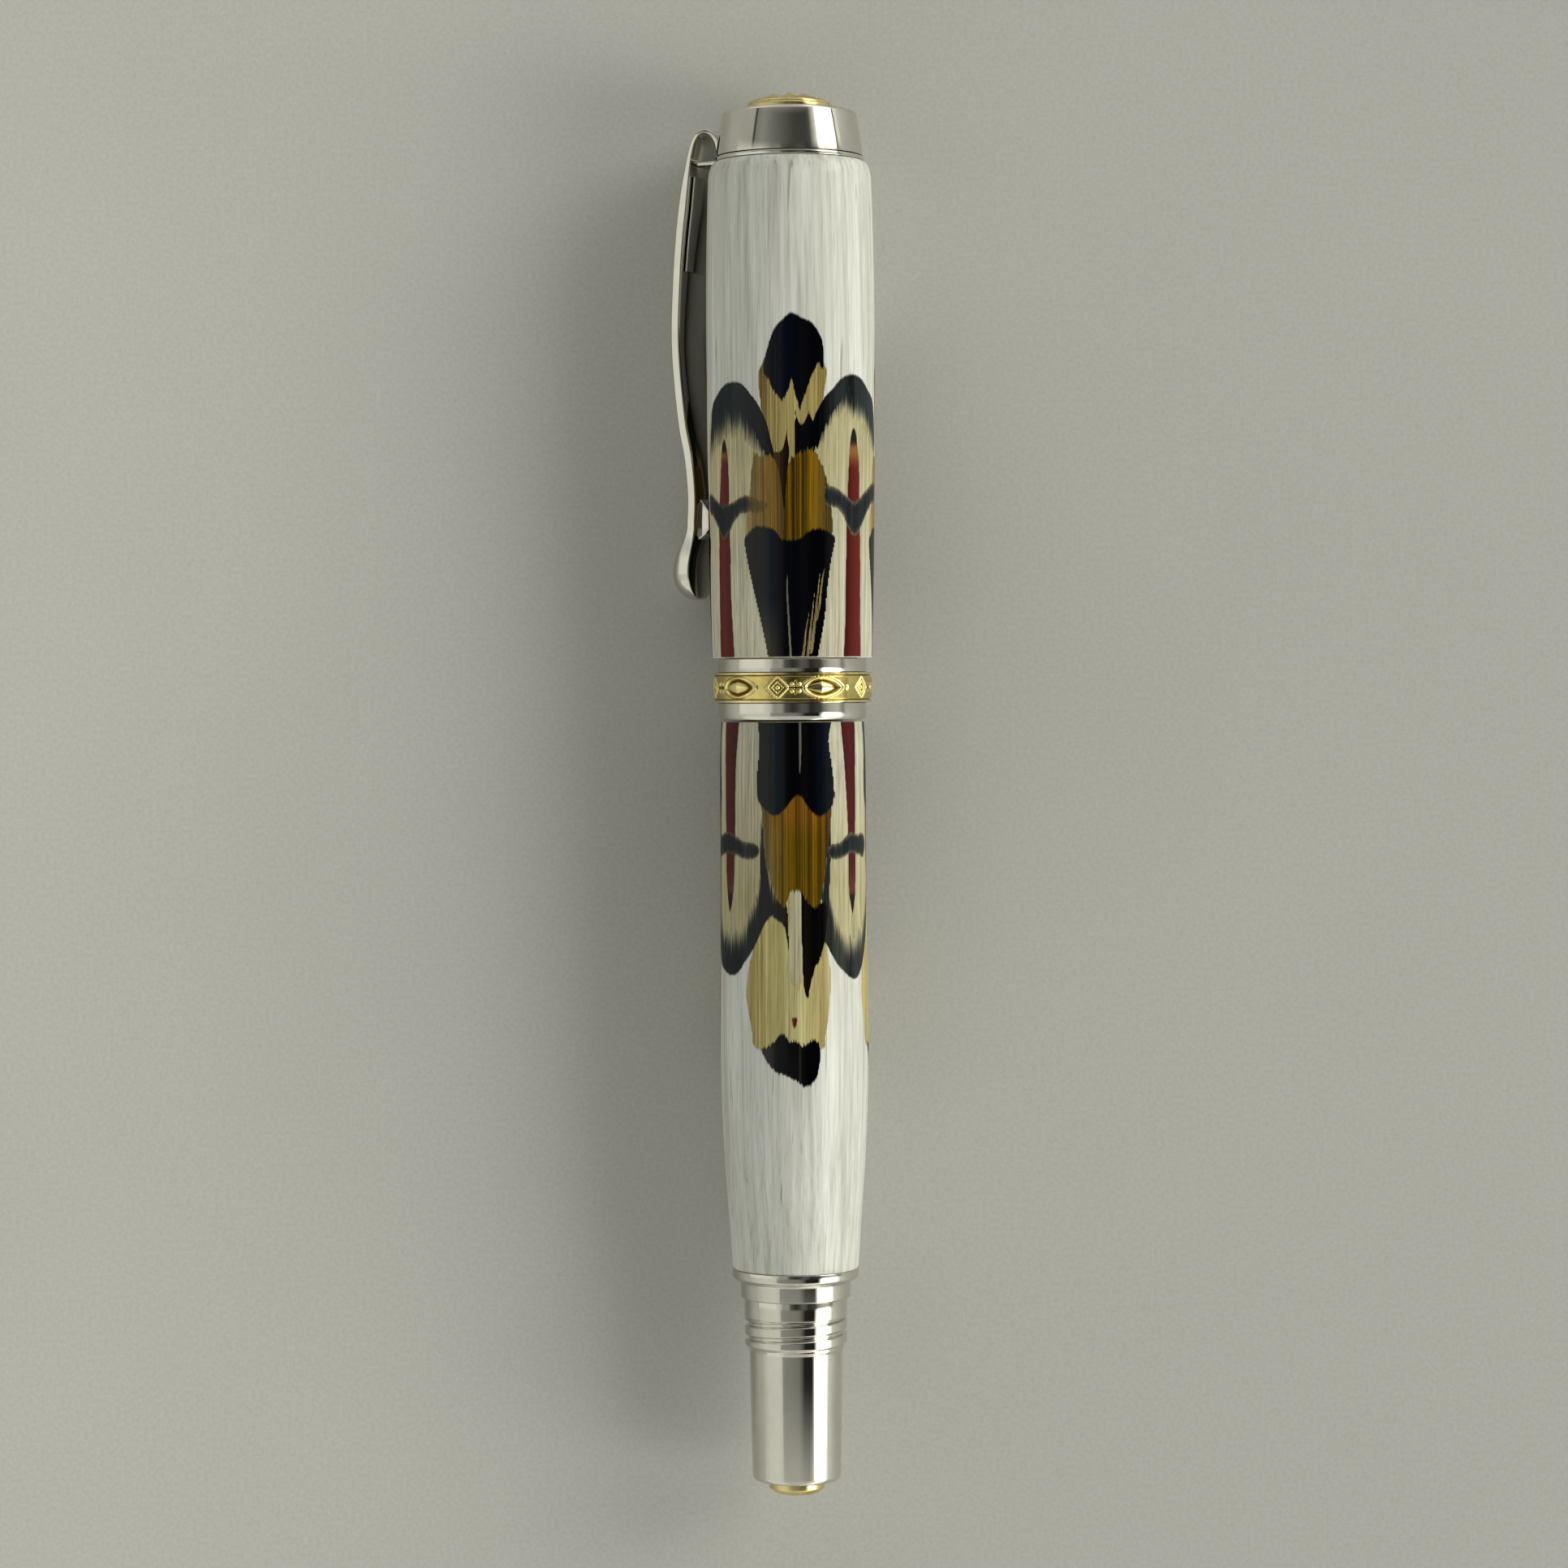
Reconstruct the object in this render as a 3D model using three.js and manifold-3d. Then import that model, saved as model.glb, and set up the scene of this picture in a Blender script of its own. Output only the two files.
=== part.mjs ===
// Capped pen with a fountain nib, a feather-inlaid resin cap and barrel, and metal fittings.
// It lies on a table: +Y runs along the pen to the cap's finial, +Z is up, and z = 0 is the table.
// The origin is on the table under the middle of the pen's axis. All sizes are in millimetres.

import * as THREE from 'three';
import { mergeVertices } from 'three/addons/utils/BufferGeometryUtils.js';
import Module from 'manifold-3d';

const wasm = await Module();
wasm.setup();

// ---------------------------------------------------------------------------------------------
// Driving dimensions
// ---------------------------------------------------------------------------------------------

const SKIN_SIDES = 40; // sides of the large outer turned pieces
const CORE_SIDES = 24; // sides of the smaller and inner turned pieces
const FINE_SIDES = 16; // sides of the thinnest turned pieces
const STEP_GAP = 0.15; // gap between pieces that butt end to end
const FIT_GAP = 0.05; // radial gap between pieces that are glued or pressed together

// Cap sleeve: a barrel-shaped resin tube
const CAP_BELLY_R = 8.36;
const CAP_BELLY_Y = 46.2;
const CAP_MOUTH_R = 7.92;
const CAP_MOUTH_Y = 13.3;
const CAP_SHOULDER_R = 8.1;
const CAP_SHOULDER_Y = 60;
const CAP_TOP_R = 7.35;
const CAP_TOP_Y = 61.95;
const CAP_TUBE_R = 6.9;
const TUBE_WALL = 0.4;
const INLAY = 0.15; // thickness of the feather layer between tube and resin

// The axis lies one belly radius above the table
const AXIS_HEIGHT = CAP_BELLY_R;

// Barrel sleeve: radius and place of the points that its outline runs through, front to rear
const BARREL_OUTLINE = [
  [7.04, 7.05], [7.2, -3.8], [7.31, -18], [7.3, -27], [7.15, -33],
  [6.96, -36.8], [6.65, -40.6], [6.4, -44.2], [6.27, -46.6],
];
const BARREL_FRONT_Y = 7.05;
const BARREL_REAR_Y = -46.6;
const BARREL_TUBE_R = 5.85;

// Finial on the cap's closed end
const RING_Y = 62.1;
const RING_THICK = 0.42;
const FINIAL_BASE_Y = RING_Y + RING_THICK + 0.08;
const FINIAL_BASE_R = 7.3;
const FINIAL_TOP_R = 6.62;
const FINIAL_TOP_Y = 67;
const FINIAL_EDGE = 0.45; // radius of the finial's rounded top edge
const MEDAL_R = 4.25;
const MEDAL_RIM_Y = 67.7;
const MEDAL_TOP_Y = 68.8;
const MEDAL_SEAT = 0.5;
const STUD_R = 2.4;

// Centre band at the cap's mouth
const LIP_Y = 7.2;
const GOLD_LOW_Y = 8.9;
const GOLD_HIGH_Y = 11.84;
const BAND_RING_R = 7.32;
const GOLD_R = 7.84;
const BAND_CORE_R = 6.45;
const CAP_THREAD_ROOT_R = 5.95;

// Clip: a strap that leaves the ring, loops over and runs down beside the cap
const CLIP_BELOW_DEG = 30; // how far the clip is turned below the pen's left side
const CLIP_THICK = 1.06;
const CLIP_LOOP_THICK = 0.55; // the strap is thinner where it loops over
const CLIP_ROOT_WIDTH = 5.3;
const CLIP_NECK_WIDTH = 4.3;
const CLIP_WIDE_Y = 56; // the strap is at its full width above this, and tapers below it
const CLIP_NECK_Y = 28; // the strap keeps its neck width below this
const CLIP_TAB_R = 9.3; // how far out the ring's tab reaches under the strap
const CLIP_TAB_INSET = 0.3; // the ring's tab is narrower than the strap on each side
const CLIP_TIP_R = 11; // the tip's centre, and its half sizes outward, along and across
const CLIP_TIP_Y = 21.85;
const CLIP_TIP_HALF = [2, 2.75, 3];
const CLIP_TIP_FLAT_R = 10.35; // the tip's flat inner side
const CLIP_PAD_WIDTH = 2.6;
const CLIP_TONGUE_GAP = 0.1; // gap between the arm and the tongue inside it
const TONGUE_THICK = 0.3;
const TONGUE_WIDTH = 4.3;

// Writing section and nib
const COLLAR_Y = 7.75;
const COLLAR_TOP_Y = 13.1;
const COLLAR_THREAD_R = 5.6;
const COLLAR_PITCH = 1.5;
const TENON_R = 4.5;
const TENON_BORE_R = 3.95;
const TENON_REAR_Y = -3;
const GRIP_Y = COLLAR_TOP_Y + STEP_GAP;
const GRIP_FRONT_Y = 33.2;
const HOUSING_R = 3.88;
const HOUSING_REAR_Y = 17.5;
const HOUSING_FRONT_Y = 34.15;
const NIPPLE_R = 1.4;
const NIPPLE_REAR_Y = 12.6;
const NIB_BASE_R = 3.1;
const NIB_TIP_R = 1.35;
const NIB_THICK = 0.32;
const NIB_REAR_Y = 22;
const NIB_TIP_Y = 52.8;
const INNER_CAP_TOP_Y = 58.3;
const INNER_CAP_MOUTH_Y = 31;

// Converter: the piston filler behind the nib
const CONVERTER_R = 3.6;
const CONVERTER_WALL = 0.45;
const CONVERTER_FRONT_Y = 17.2;
const CONVERTER_TUBE_Y = 12;
const CONVERTER_TUBE_REAR_Y = -20;
const CONVERTER_BAND_REAR_Y = -23.6;
const KNOB_REAR_Y = -42;
const KNOB_R = 3;
const ROD_R = 1.2;
const PISTON_FRONT_Y = 7.5;
const PISTON_REAR_Y = 4;

// Rear fittings: coupler, threaded tail and end medallion
const FLANGE_R = 6.25;
const FLANGE_REAR_Y = -47.8;
const COUPLER_STEP_R = 5.44;
const COUPLER_REAR_Y = -49.5;
const TAIL_COLLAR_R = 5.08;
const TAIL_FRONT_Y = COUPLER_REAR_Y - STEP_GAP;
const TAIL_THREAD_Y = -51.7;
const TAIL_THREAD_PITCH = 1.4;
const TAIL_THREAD_TURNS = 2;
const TAIL_ROOT_R = 4.75;
const TAIL_SHAFT_R = 4.6;
const TAIL_END_R = 4.38;
const TAIL_END_Y = -67.6;
const TAIL_BORE_R = 3.3;
const TAIL_MEDAL_R = 2.75;
const TAIL_MEDAL_Y = -68.9;

// ---------------------------------------------------------------------------------------------
// Materials
// ---------------------------------------------------------------------------------------------

function finish(color, roughness, metalness) {
  return new THREE.MeshStandardMaterial({ color, roughness, metalness });
}

const COLORS = {
  resin: [0xdcdad0, 0.12, 0],
  feather: [0xb9a37c, 0.6, 0],
  brass: [0xb5934a, 0.35, 1],
  chrome: [0xd2d0ca, 0.1, 1],
  gold: [0xd8b75a, 0.2, 1],
  black: [0x16171a, 0.25, 0],
  steel: [0xc8c6c0, 0.25, 1],
  rubber: [0x222222, 0.8, 0],
  clear: [0xc9d2d6, 0.1, 0],
};

// ---------------------------------------------------------------------------------------------
// Geometry helpers
// ---------------------------------------------------------------------------------------------

const pen = new THREE.Group();
pen.position.z = AXIS_HEIGHT;

function add(name, geometry, color) {
  const mesh = new THREE.Mesh(geometry, finish(...COLORS[color]));
  mesh.name = name;
  pen.add(mesh);
  return mesh;
}

// A turned piece. The outline lists [radius, y] anticlockwise: up the outside, down the inside.
function turned(outline, sides = CORE_SIDES) {
  const points = outline.map(([r, y]) => new THREE.Vector2(r, y));
  const closed = outline[0][0] !== 0 || outline[outline.length - 1][0] !== 0;
  if (closed) {
    points.push(points[0].clone());
  }
  return new THREE.LatheGeometry(points, sides);
}

// A plain tube between two places
function tube(outer, inner, low, high, sides = CORE_SIDES) {
  return turned([[outer, low], [outer, high], [inner, high], [inner, low]], sides);
}

// Ring-shaped thread ridges up the outside of a turned outline
function ridges(crest, root, low, pitch, turns) {
  const out = [];
  for (let i = 0; i < turns; i += 1) {
    const y = low + i * pitch;
    out.push([root, y + 0.05 * pitch], [crest, y + 0.5 * pitch]);
  }
  return out;
}

// Points of an arc in a turned outline, centred on [r, y]
function arc(r, y, radius, fromDeg, toDeg, steps) {
  const out = [];
  for (let i = 0; i <= steps; i += 1) {
    const a = THREE.MathUtils.degToRad(fromDeg + ((toDeg - fromDeg) * i) / steps);
    out.push([r + radius * Math.cos(a), y + radius * Math.sin(a)]);
  }
  return out;
}

function solidOf(geometry) {
  const bare = geometry.clone();
  bare.deleteAttribute('normal');
  bare.deleteAttribute('uv');
  const merged = mergeVertices(bare, 1e-4);
  const index = merged.index.array;
  const triVerts = [];
  for (let i = 0; i < index.length; i += 3) {
    const [a, b, c] = [index[i], index[i + 1], index[i + 2]];
    if (a !== b && b !== c && c !== a) {
      triVerts.push(a, b, c);
    }
  }
  return new wasm.Manifold(new wasm.Mesh({
    numProp: 3,
    vertProperties: new Float32Array(merged.attributes.position.array),
    triVerts: new Uint32Array(triVerts),
  }));
}

function geometryOf(solid) {
  const mesh = solid.getMesh();
  const geometry = new THREE.BufferGeometry();
  geometry.setAttribute('position', new THREE.BufferAttribute(mesh.vertProperties, 3));
  geometry.setIndex(new THREE.BufferAttribute(mesh.triVerts, 1));
  geometry.computeVertexNormals();
  return geometry;
}

// ---------------------------------------------------------------------------------------------
// Cap
// ---------------------------------------------------------------------------------------------

function capRadius(y) {
  if (y < CAP_BELLY_Y) {
    const t = (CAP_BELLY_Y - y) / (CAP_BELLY_Y - CAP_MOUTH_Y);
    return CAP_BELLY_R - (CAP_BELLY_R - CAP_MOUTH_R) * t * t;
  }
  const t = (y - CAP_BELLY_Y) / (CAP_SHOULDER_Y - CAP_BELLY_Y);
  return CAP_BELLY_R - (CAP_BELLY_R - CAP_SHOULDER_R) * t * t;
}

function buildCapSleeve() {
  const outline = [];
  const bands = 7;
  for (let i = 0; i <= bands; i += 1) {
    const y = CAP_MOUTH_Y + ((CAP_SHOULDER_Y - CAP_MOUTH_Y) * i) / bands;
    outline.push([capRadius(y), y]);
  }
  const shoulderSteps = 3;
  for (let i = 1; i <= shoulderSteps; i += 1) {
    const a = (Math.PI / 2) * (i / shoulderSteps);
    const r = CAP_TOP_R + (CAP_SHOULDER_R - CAP_TOP_R) * Math.cos(a);
    outline.push([r, CAP_SHOULDER_Y + (CAP_TOP_Y - CAP_SHOULDER_Y) * Math.sin(a)]);
  }
  const bore = CAP_TUBE_R + INLAY + 2 * FIT_GAP;
  outline.push([bore, CAP_TOP_Y], [bore, CAP_MOUTH_Y]);
  add('cap_sleeve', turned(outline, SKIN_SIDES), 'resin');
}

function buildCapTubes() {
  const top = CAP_TOP_Y - STEP_GAP;
  const low = CAP_MOUTH_Y + STEP_GAP;
  const inlayBore = CAP_TUBE_R + FIT_GAP;
  add('cap_feather_inlay', tube(inlayBore + INLAY, inlayBore, low, top, SKIN_SIDES), 'feather');
  add('cap_tube', tube(CAP_TUBE_R, CAP_TUBE_R - TUBE_WALL, low, top, SKIN_SIDES), 'brass');
  const bushR = CAP_TUBE_R - TUBE_WALL - FIT_GAP;
  const bushLow = INNER_CAP_TOP_Y + 0.3;
  add('cap_top_bush', tube(bushR, STUD_R + STEP_GAP, bushLow, top), 'brass');
}

function buildInnerCap() {
  const outer = 6.2;
  const inner = 4.95;
  const roof = 0.8;
  const outline = [
    [outer - 0.3, INNER_CAP_MOUTH_Y], [outer, INNER_CAP_MOUTH_Y + 0.5],
    [outer, INNER_CAP_TOP_Y], [0, INNER_CAP_TOP_Y],
  ];
  const inside = [
    [0, INNER_CAP_TOP_Y - roof], [inner, INNER_CAP_TOP_Y - roof], [inner, INNER_CAP_MOUTH_Y],
    [outer - 0.3, INNER_CAP_MOUTH_Y],
  ];
  const points = [...outline, ...inside].map(([r, y]) => new THREE.Vector2(r, y));
  add('inner_cap', new THREE.LatheGeometry(points, CORE_SIDES), 'black');
}

function buildFinial() {
  const studBore = STUD_R + STEP_GAP;
  const seatY = FINIAL_TOP_Y - MEDAL_SEAT;
  const seatR = MEDAL_R + FIT_GAP * 2;
  const edge = arc(FINIAL_TOP_R - FINIAL_EDGE, FINIAL_TOP_Y - FINIAL_EDGE, FINIAL_EDGE, 0, 90, 3);
  const studRoof = 65.9;
  const body = [
    [FINIAL_BASE_R, FINIAL_BASE_Y], ...edge,
    [seatR, FINIAL_TOP_Y], [seatR, seatY], [0, seatY],
  ];
  const hollow = [[0, studRoof], [studBore, studRoof], [studBore, FINIAL_BASE_Y]];
  const points = [...body, ...hollow, body[0]].map(([r, y]) => new THREE.Vector2(r, y));
  add('finial_body', new THREE.LatheGeometry(points, SKIN_SIDES), 'chrome');

  const medal = [[0, seatY + FIT_GAP], [MEDAL_R, seatY + FIT_GAP], [MEDAL_R, MEDAL_RIM_Y]];
  const domeSteps = 3;
  for (let i = 1; i <= domeSteps; i += 1) {
    const a = (Math.PI / 2) * (i / domeSteps);
    medal.push([
      i === domeSteps ? 0 : MEDAL_R * Math.cos(a),
      MEDAL_RIM_Y + (MEDAL_TOP_Y - MEDAL_RIM_Y) * Math.sin(a),
    ]);
  }
  add('finial_medallion', turned(medal), 'gold');

  const studLow = INNER_CAP_TOP_Y + 0.6;
  const stud = [
    [0, studLow], [STUD_R - 0.3, studLow],
    ...ridges(STUD_R, STUD_R - 0.3, studLow, 1.25, 5),
    [STUD_R - 0.3, studRoof - STEP_GAP], [0, studRoof - STEP_GAP],
  ];
  add('finial_screw', turned(stud, FINE_SIDES), 'steel');
}

function buildCentreBand() {
  const bore = BAND_CORE_R + FIT_GAP;
  const upper = [
    [BAND_RING_R - 0.1, GOLD_HIGH_Y + 0.05], [BAND_RING_R, GOLD_HIGH_Y + 0.15],
    [BAND_RING_R, CAP_MOUTH_Y - STEP_GAP], [bore, CAP_MOUTH_Y - STEP_GAP],
    [bore, GOLD_HIGH_Y + 0.05],
  ];
  add('band_upper_ring', turned(upper, SKIN_SIDES), 'chrome');
  const gold = [
    [GOLD_R - 0.15, GOLD_LOW_Y], [GOLD_R, GOLD_LOW_Y + 0.2], [GOLD_R, GOLD_HIGH_Y - 0.2],
    [GOLD_R - 0.15, GOLD_HIGH_Y], [bore, GOLD_HIGH_Y], [bore, GOLD_LOW_Y],
  ];
  add('band_gold', turned(gold, SKIN_SIDES), 'gold');
  const lipRound = 0.4;
  const lip = arc(BAND_RING_R - lipRound, LIP_Y + lipRound, lipRound, -90, 0, 3);
  const lower = [...lip, [BAND_RING_R, GOLD_LOW_Y - 0.05], [bore, GOLD_LOW_Y - 0.05], [bore, LIP_Y]];
  add('band_lower_ring', turned(lower, SKIN_SIDES), 'chrome');

  // The threaded core has two inner ridges, one thread pitch apart
  const coreTop = 19;
  const coreLow = LIP_Y + 0.2;
  const throat = CAP_THREAD_ROOT_R - 0.2;
  const core = [
    [CAP_THREAD_ROOT_R, coreLow], [BAND_CORE_R, coreLow], [BAND_CORE_R, coreTop],
    [CAP_THREAD_ROOT_R, coreTop],
  ];
  for (const y of [12.3, 12.3 - COLLAR_PITCH]) {
    core.push(
      [CAP_THREAD_ROOT_R, y + 0.5], [throat, y + 0.2], [throat, y - 0.2],
      [CAP_THREAD_ROOT_R, y - 0.5],
    );
  }
  add('band_core', turned(core, SKIN_SIDES), 'brass');
}

// ---------------------------------------------------------------------------------------------
// Clip: built in a plane where x is the distance from the axis and y runs along the pen,
// extruded across its width, then turned round the axis to its place
// ---------------------------------------------------------------------------------------------

// Middle line of the clip's strap, from the ring over the loop to the tip: [distance from the axis, y]
const CLIP_SPINE = new THREE.SplineCurve([
  [7.7, 62.57], [7.55, 63.6], [7.6, 64.8], [8.05, 65.55], [8.6, 65.25], [9.1, 64.45],
  [10, 62.65], [10.75, 58.7], [11.25, 54.8], [11.6, 50.9], [11.88, 44.5], [11.3, 37.3],
  [10.6, 33.4], [10.28, 30.3], [10.27, 28], [10.5, 25.2], [10.9, 22.4],
].map(([r, y]) => new THREE.Vector2(r, y)));

// How thick the strap is at a share of its length
function strapThickness(t) {
  const swell = THREE.MathUtils.smoothstep(t, 0.08, 0.26);
  return CLIP_LOOP_THICK + (CLIP_THICK - CLIP_LOOP_THICK) * swell;
}

// A strap along a flat curve, as an outline for extrusion
function strapShape(curve, from, to, steps, thickness, offset = () => 0) {
  const near = [];
  const far = [];
  for (let i = 0; i <= steps; i += 1) {
    const t = from + ((to - from) * i) / steps;
    const p = curve.getPointAt(t);
    const d = curve.getTangentAt(t);
    const n = new THREE.Vector2(-d.y, d.x);
    near.push(p.clone().addScaledVector(n, offset(t) + thickness(t) / 2));
    far.push(p.clone().addScaledVector(n, offset(t) - thickness(t) / 2));
  }
  return new THREE.Shape([...near, ...far.reverse()]);
}

function across(shape, width) {
  const geometry = new THREE.ExtrudeGeometry(shape, { depth: width, bevelEnabled: false });
  geometry.translate(0, 0, -width / 2);
  return geometry;
}

// The clip's plane starts on +X, so it turns past the left side and on below it
function placeClip(geometry) {
  geometry.rotateY(THREE.MathUtils.degToRad(180 - CLIP_BELOW_DEG));
  return geometry;
}

function buildClip() {
  const strapOutline = strapShape(CLIP_SPINE, 0, 1, 34, strapThickness);
  const strap = solidOf(across(strapOutline, CLIP_ROOT_WIDTH));

  // The strap narrows towards its neck
  const half = CLIP_ROOT_WIDTH / 2;
  const neck = CLIP_NECK_WIDTH / 2;
  const planLow = CLIP_TIP_Y;
  const planHigh = MEDAL_TOP_Y;
  const plan = new THREE.Shape([
    [-neck, planLow], [neck, planLow], [neck, CLIP_NECK_Y], [half, CLIP_WIDE_Y],
    [half, planHigh], [-half, planHigh], [-half, CLIP_WIDE_Y], [-neck, CLIP_NECK_Y],
  ].map(([x, y]) => new THREE.Vector2(x, y)));
  const planSolid = new THREE.ExtrudeGeometry(plan, { depth: 12, bevelEnabled: false });
  planSolid.rotateY(Math.PI / 2);
  planSolid.translate(CLIP_TAB_R / 2, 0, 0);

  // The tip is a teardrop with a flat inner side
  const tip = new THREE.SphereGeometry(1, 16, 10);
  tip.scale(...CLIP_TIP_HALF);
  tip.translate(CLIP_TIP_R, CLIP_TIP_Y, 0);
  const flatDepth = 4;
  const flat = new THREE.BoxGeometry(flatDepth, 12, 12);
  flat.translate(CLIP_TIP_FLAT_R - flatDepth / 2, CLIP_TIP_Y, 0);

  // A pad on the inside presses on the cap
  const pad = new THREE.Shape([
    [10.15, 25], [10, 29.4], [9.1, 28.5], [8.55, 27.8], [8.55, 26.3], [9.1, 25.6],
  ].map(([x, y]) => new THREE.Vector2(x, y)));
  const padSolid = solidOf(across(pad, CLIP_PAD_WIDTH));

  const clip = strap.intersect(solidOf(planSolid))
    .add(solidOf(tip).subtract(solidOf(flat)))
    .add(padSolid);
  add('clip_arm', placeClip(geometryOf(clip)), 'chrome');

  // The tongue lies inside the upper part of the arm
  const inward = (t) => -(strapThickness(t) + TONGUE_THICK) / 2 - CLIP_TONGUE_GAP;
  const shape = strapShape(CLIP_SPINE, 0.18, 0.39, 10, () => TONGUE_THICK, inward);
  add('clip_tongue', placeClip(across(shape, TONGUE_WIDTH)), 'chrome');
}

function buildClipRing() {
  const ring = tube(CAP_TOP_R, STUD_R + STEP_GAP, RING_Y, RING_Y + RING_THICK, SKIN_SIDES);
  const tabLength = 3;
  const tab = new THREE.BoxGeometry(tabLength, RING_THICK, CLIP_ROOT_WIDTH - 2 * CLIP_TAB_INSET);
  tab.translate(CLIP_TAB_R - tabLength / 2, RING_Y + RING_THICK / 2, 0);
  placeClip(tab);
  add('clip_ring', geometryOf(solidOf(ring).add(solidOf(tab))), 'chrome');
}

// ---------------------------------------------------------------------------------------------
// Barrel and rear fittings
// ---------------------------------------------------------------------------------------------

function buildBarrelSleeve() {
  const curve = new THREE.SplineCurve(BARREL_OUTLINE.map(([r, y]) => new THREE.Vector2(r, y)));
  const outside = curve.getSpacedPoints(10).reverse().map((p) => [p.x, p.y]);
  const bore = BARREL_TUBE_R + INLAY + 2 * FIT_GAP;
  const outline = [...outside, [bore, BARREL_FRONT_Y], [bore, BARREL_REAR_Y]];
  add('barrel_sleeve', turned(outline, SKIN_SIDES), 'resin');
}

function buildBarrelTubes() {
  const high = BARREL_FRONT_Y - 0.5;
  const low = BARREL_REAR_Y + STEP_GAP;
  const inlayBore = BARREL_TUBE_R + FIT_GAP;
  const inlay = tube(inlayBore + INLAY, inlayBore, low, BARREL_FRONT_Y - STEP_GAP, SKIN_SIDES);
  add('barrel_feather_inlay', inlay, 'feather');
  const bore = BARREL_TUBE_R - TUBE_WALL;
  add('barrel_tube', tube(BARREL_TUBE_R, bore, low, high, SKIN_SIDES), 'brass');

  const plugR = bore - FIT_GAP;
  const thread = TENON_R + 0.1;
  const bush = [
    [plugR, -5], [plugR, high + 0.1], [BARREL_TUBE_R, high + 0.1],
    [BARREL_TUBE_R, BARREL_FRONT_Y], [thread, BARREL_FRONT_Y], [thread, -5],
  ];
  add('barrel_front_bush', turned(bush), 'brass');
}

function buildRearCoupler() {
  const plugR = BARREL_TUBE_R - TUBE_WALL - FIT_GAP;
  const bore = 4.1;
  const flangeTop = BARREL_REAR_Y - STEP_GAP;
  const outline = [
    [COUPLER_STEP_R, COUPLER_REAR_Y], [COUPLER_STEP_R, FLANGE_REAR_Y - 0.25],
    [FLANGE_R - 0.25, FLANGE_REAR_Y], [FLANGE_R, FLANGE_REAR_Y + 0.25],
    [FLANGE_R, flangeTop], [plugR, flangeTop], [plugR, -41], [bore, -41], [bore, COUPLER_REAR_Y],
  ];
  add('rear_coupler', turned(outline, SKIN_SIDES), 'chrome');
}

function buildTail() {
  const threadLow = TAIL_THREAD_Y - TAIL_THREAD_TURNS * TAIL_THREAD_PITCH;
  const seatY = TAIL_END_Y + 0.5;
  const seatR = TAIL_MEDAL_R + 0.1;
  const tenonR = 4.0;
  const tenonFront = -43;
  const boreEnd = -52;
  const edge = arc(TAIL_END_R - 0.45, TAIL_END_Y + 0.45, 0.45, -90, 0, 3);
  const outline = [
    [0, seatY], [seatR, seatY], [seatR, TAIL_END_Y], ...edge,
    [TAIL_SHAFT_R, threadLow - 0.1],
    [TAIL_ROOT_R, threadLow],
    ...ridges(5.05, TAIL_ROOT_R, threadLow, TAIL_THREAD_PITCH, TAIL_THREAD_TURNS),
    [TAIL_COLLAR_R, TAIL_THREAD_Y + 0.2], [TAIL_COLLAR_R, TAIL_FRONT_Y],
    [tenonR, TAIL_FRONT_Y], [tenonR, tenonFront], [TAIL_BORE_R, tenonFront],
    [TAIL_BORE_R, boreEnd], [0, boreEnd],
  ];
  add('tail_body', turned(outline), 'chrome');

  const medal = [
    [0, TAIL_MEDAL_Y], [2.2, TAIL_MEDAL_Y], [TAIL_MEDAL_R, TAIL_MEDAL_Y + 0.55],
    [TAIL_MEDAL_R, seatY - FIT_GAP], [0, seatY - FIT_GAP],
  ];
  add('tail_medallion', turned(medal), 'gold');
}

// ---------------------------------------------------------------------------------------------
// Section, nib and feed
// ---------------------------------------------------------------------------------------------

function buildSection() {
  const threadTurns = 3;
  const collar = [
    [TENON_R - 0.15, TENON_REAR_Y], [TENON_R, TENON_REAR_Y + 0.3], [TENON_R, COLLAR_Y],
    [COLLAR_THREAD_R - 0.35, COLLAR_Y],
    ...ridges(COLLAR_THREAD_R, COLLAR_THREAD_R - 0.35, COLLAR_Y + 0.3, COLLAR_PITCH, threadTurns),
    [COLLAR_THREAD_R - 0.35, COLLAR_TOP_Y], [TENON_BORE_R, COLLAR_TOP_Y],
    [TENON_BORE_R, TENON_REAR_Y],
  ];
  add('section_collar', turned(collar), 'brass');
  add('section_o_ring', tube(5.15, TENON_R + 0.12, COLLAR_Y - 0.62, COLLAR_Y - 0.12), 'rubber');

  const grip = [
    [5.2, GRIP_Y], [5.0, 18], [4.55, 25], [4.35, 29.5], [4.45, 31.5], [4.62, 32.7],
    [4.5, GRIP_FRONT_Y], [TENON_BORE_R, GRIP_FRONT_Y], [TENON_BORE_R, GRIP_Y],
  ];
  add('section_grip', turned(grip), 'black');
  const trim = [
    [4.5, GRIP_FRONT_Y + 0.1], [4.6, GRIP_FRONT_Y + 0.35], [4.5, HOUSING_FRONT_Y],
    [TENON_BORE_R, HOUSING_FRONT_Y], [TENON_BORE_R, GRIP_FRONT_Y + 0.1],
  ];
  add('section_trim_ring', turned(trim), 'chrome');

  const bore = NIB_BASE_R + 0.2;
  const housing = [
    [NIPPLE_R, NIPPLE_REAR_Y], [NIPPLE_R, HOUSING_REAR_Y], [HOUSING_R, HOUSING_REAR_Y],
    [HOUSING_R, HOUSING_FRONT_Y], [bore, HOUSING_FRONT_Y], [bore, 20], [0.5, 20],
    [0.5, NIPPLE_REAR_Y],
  ];
  add('nib_housing', turned(housing), 'black');
}

function nibRadius(y) {
  const bend = 34;
  if (y < bend) {
    return NIB_BASE_R;
  }
  return NIB_BASE_R + ((NIB_TIP_R - NIB_BASE_R) * (y - bend)) / (NIB_TIP_Y - bend);
}

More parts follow.
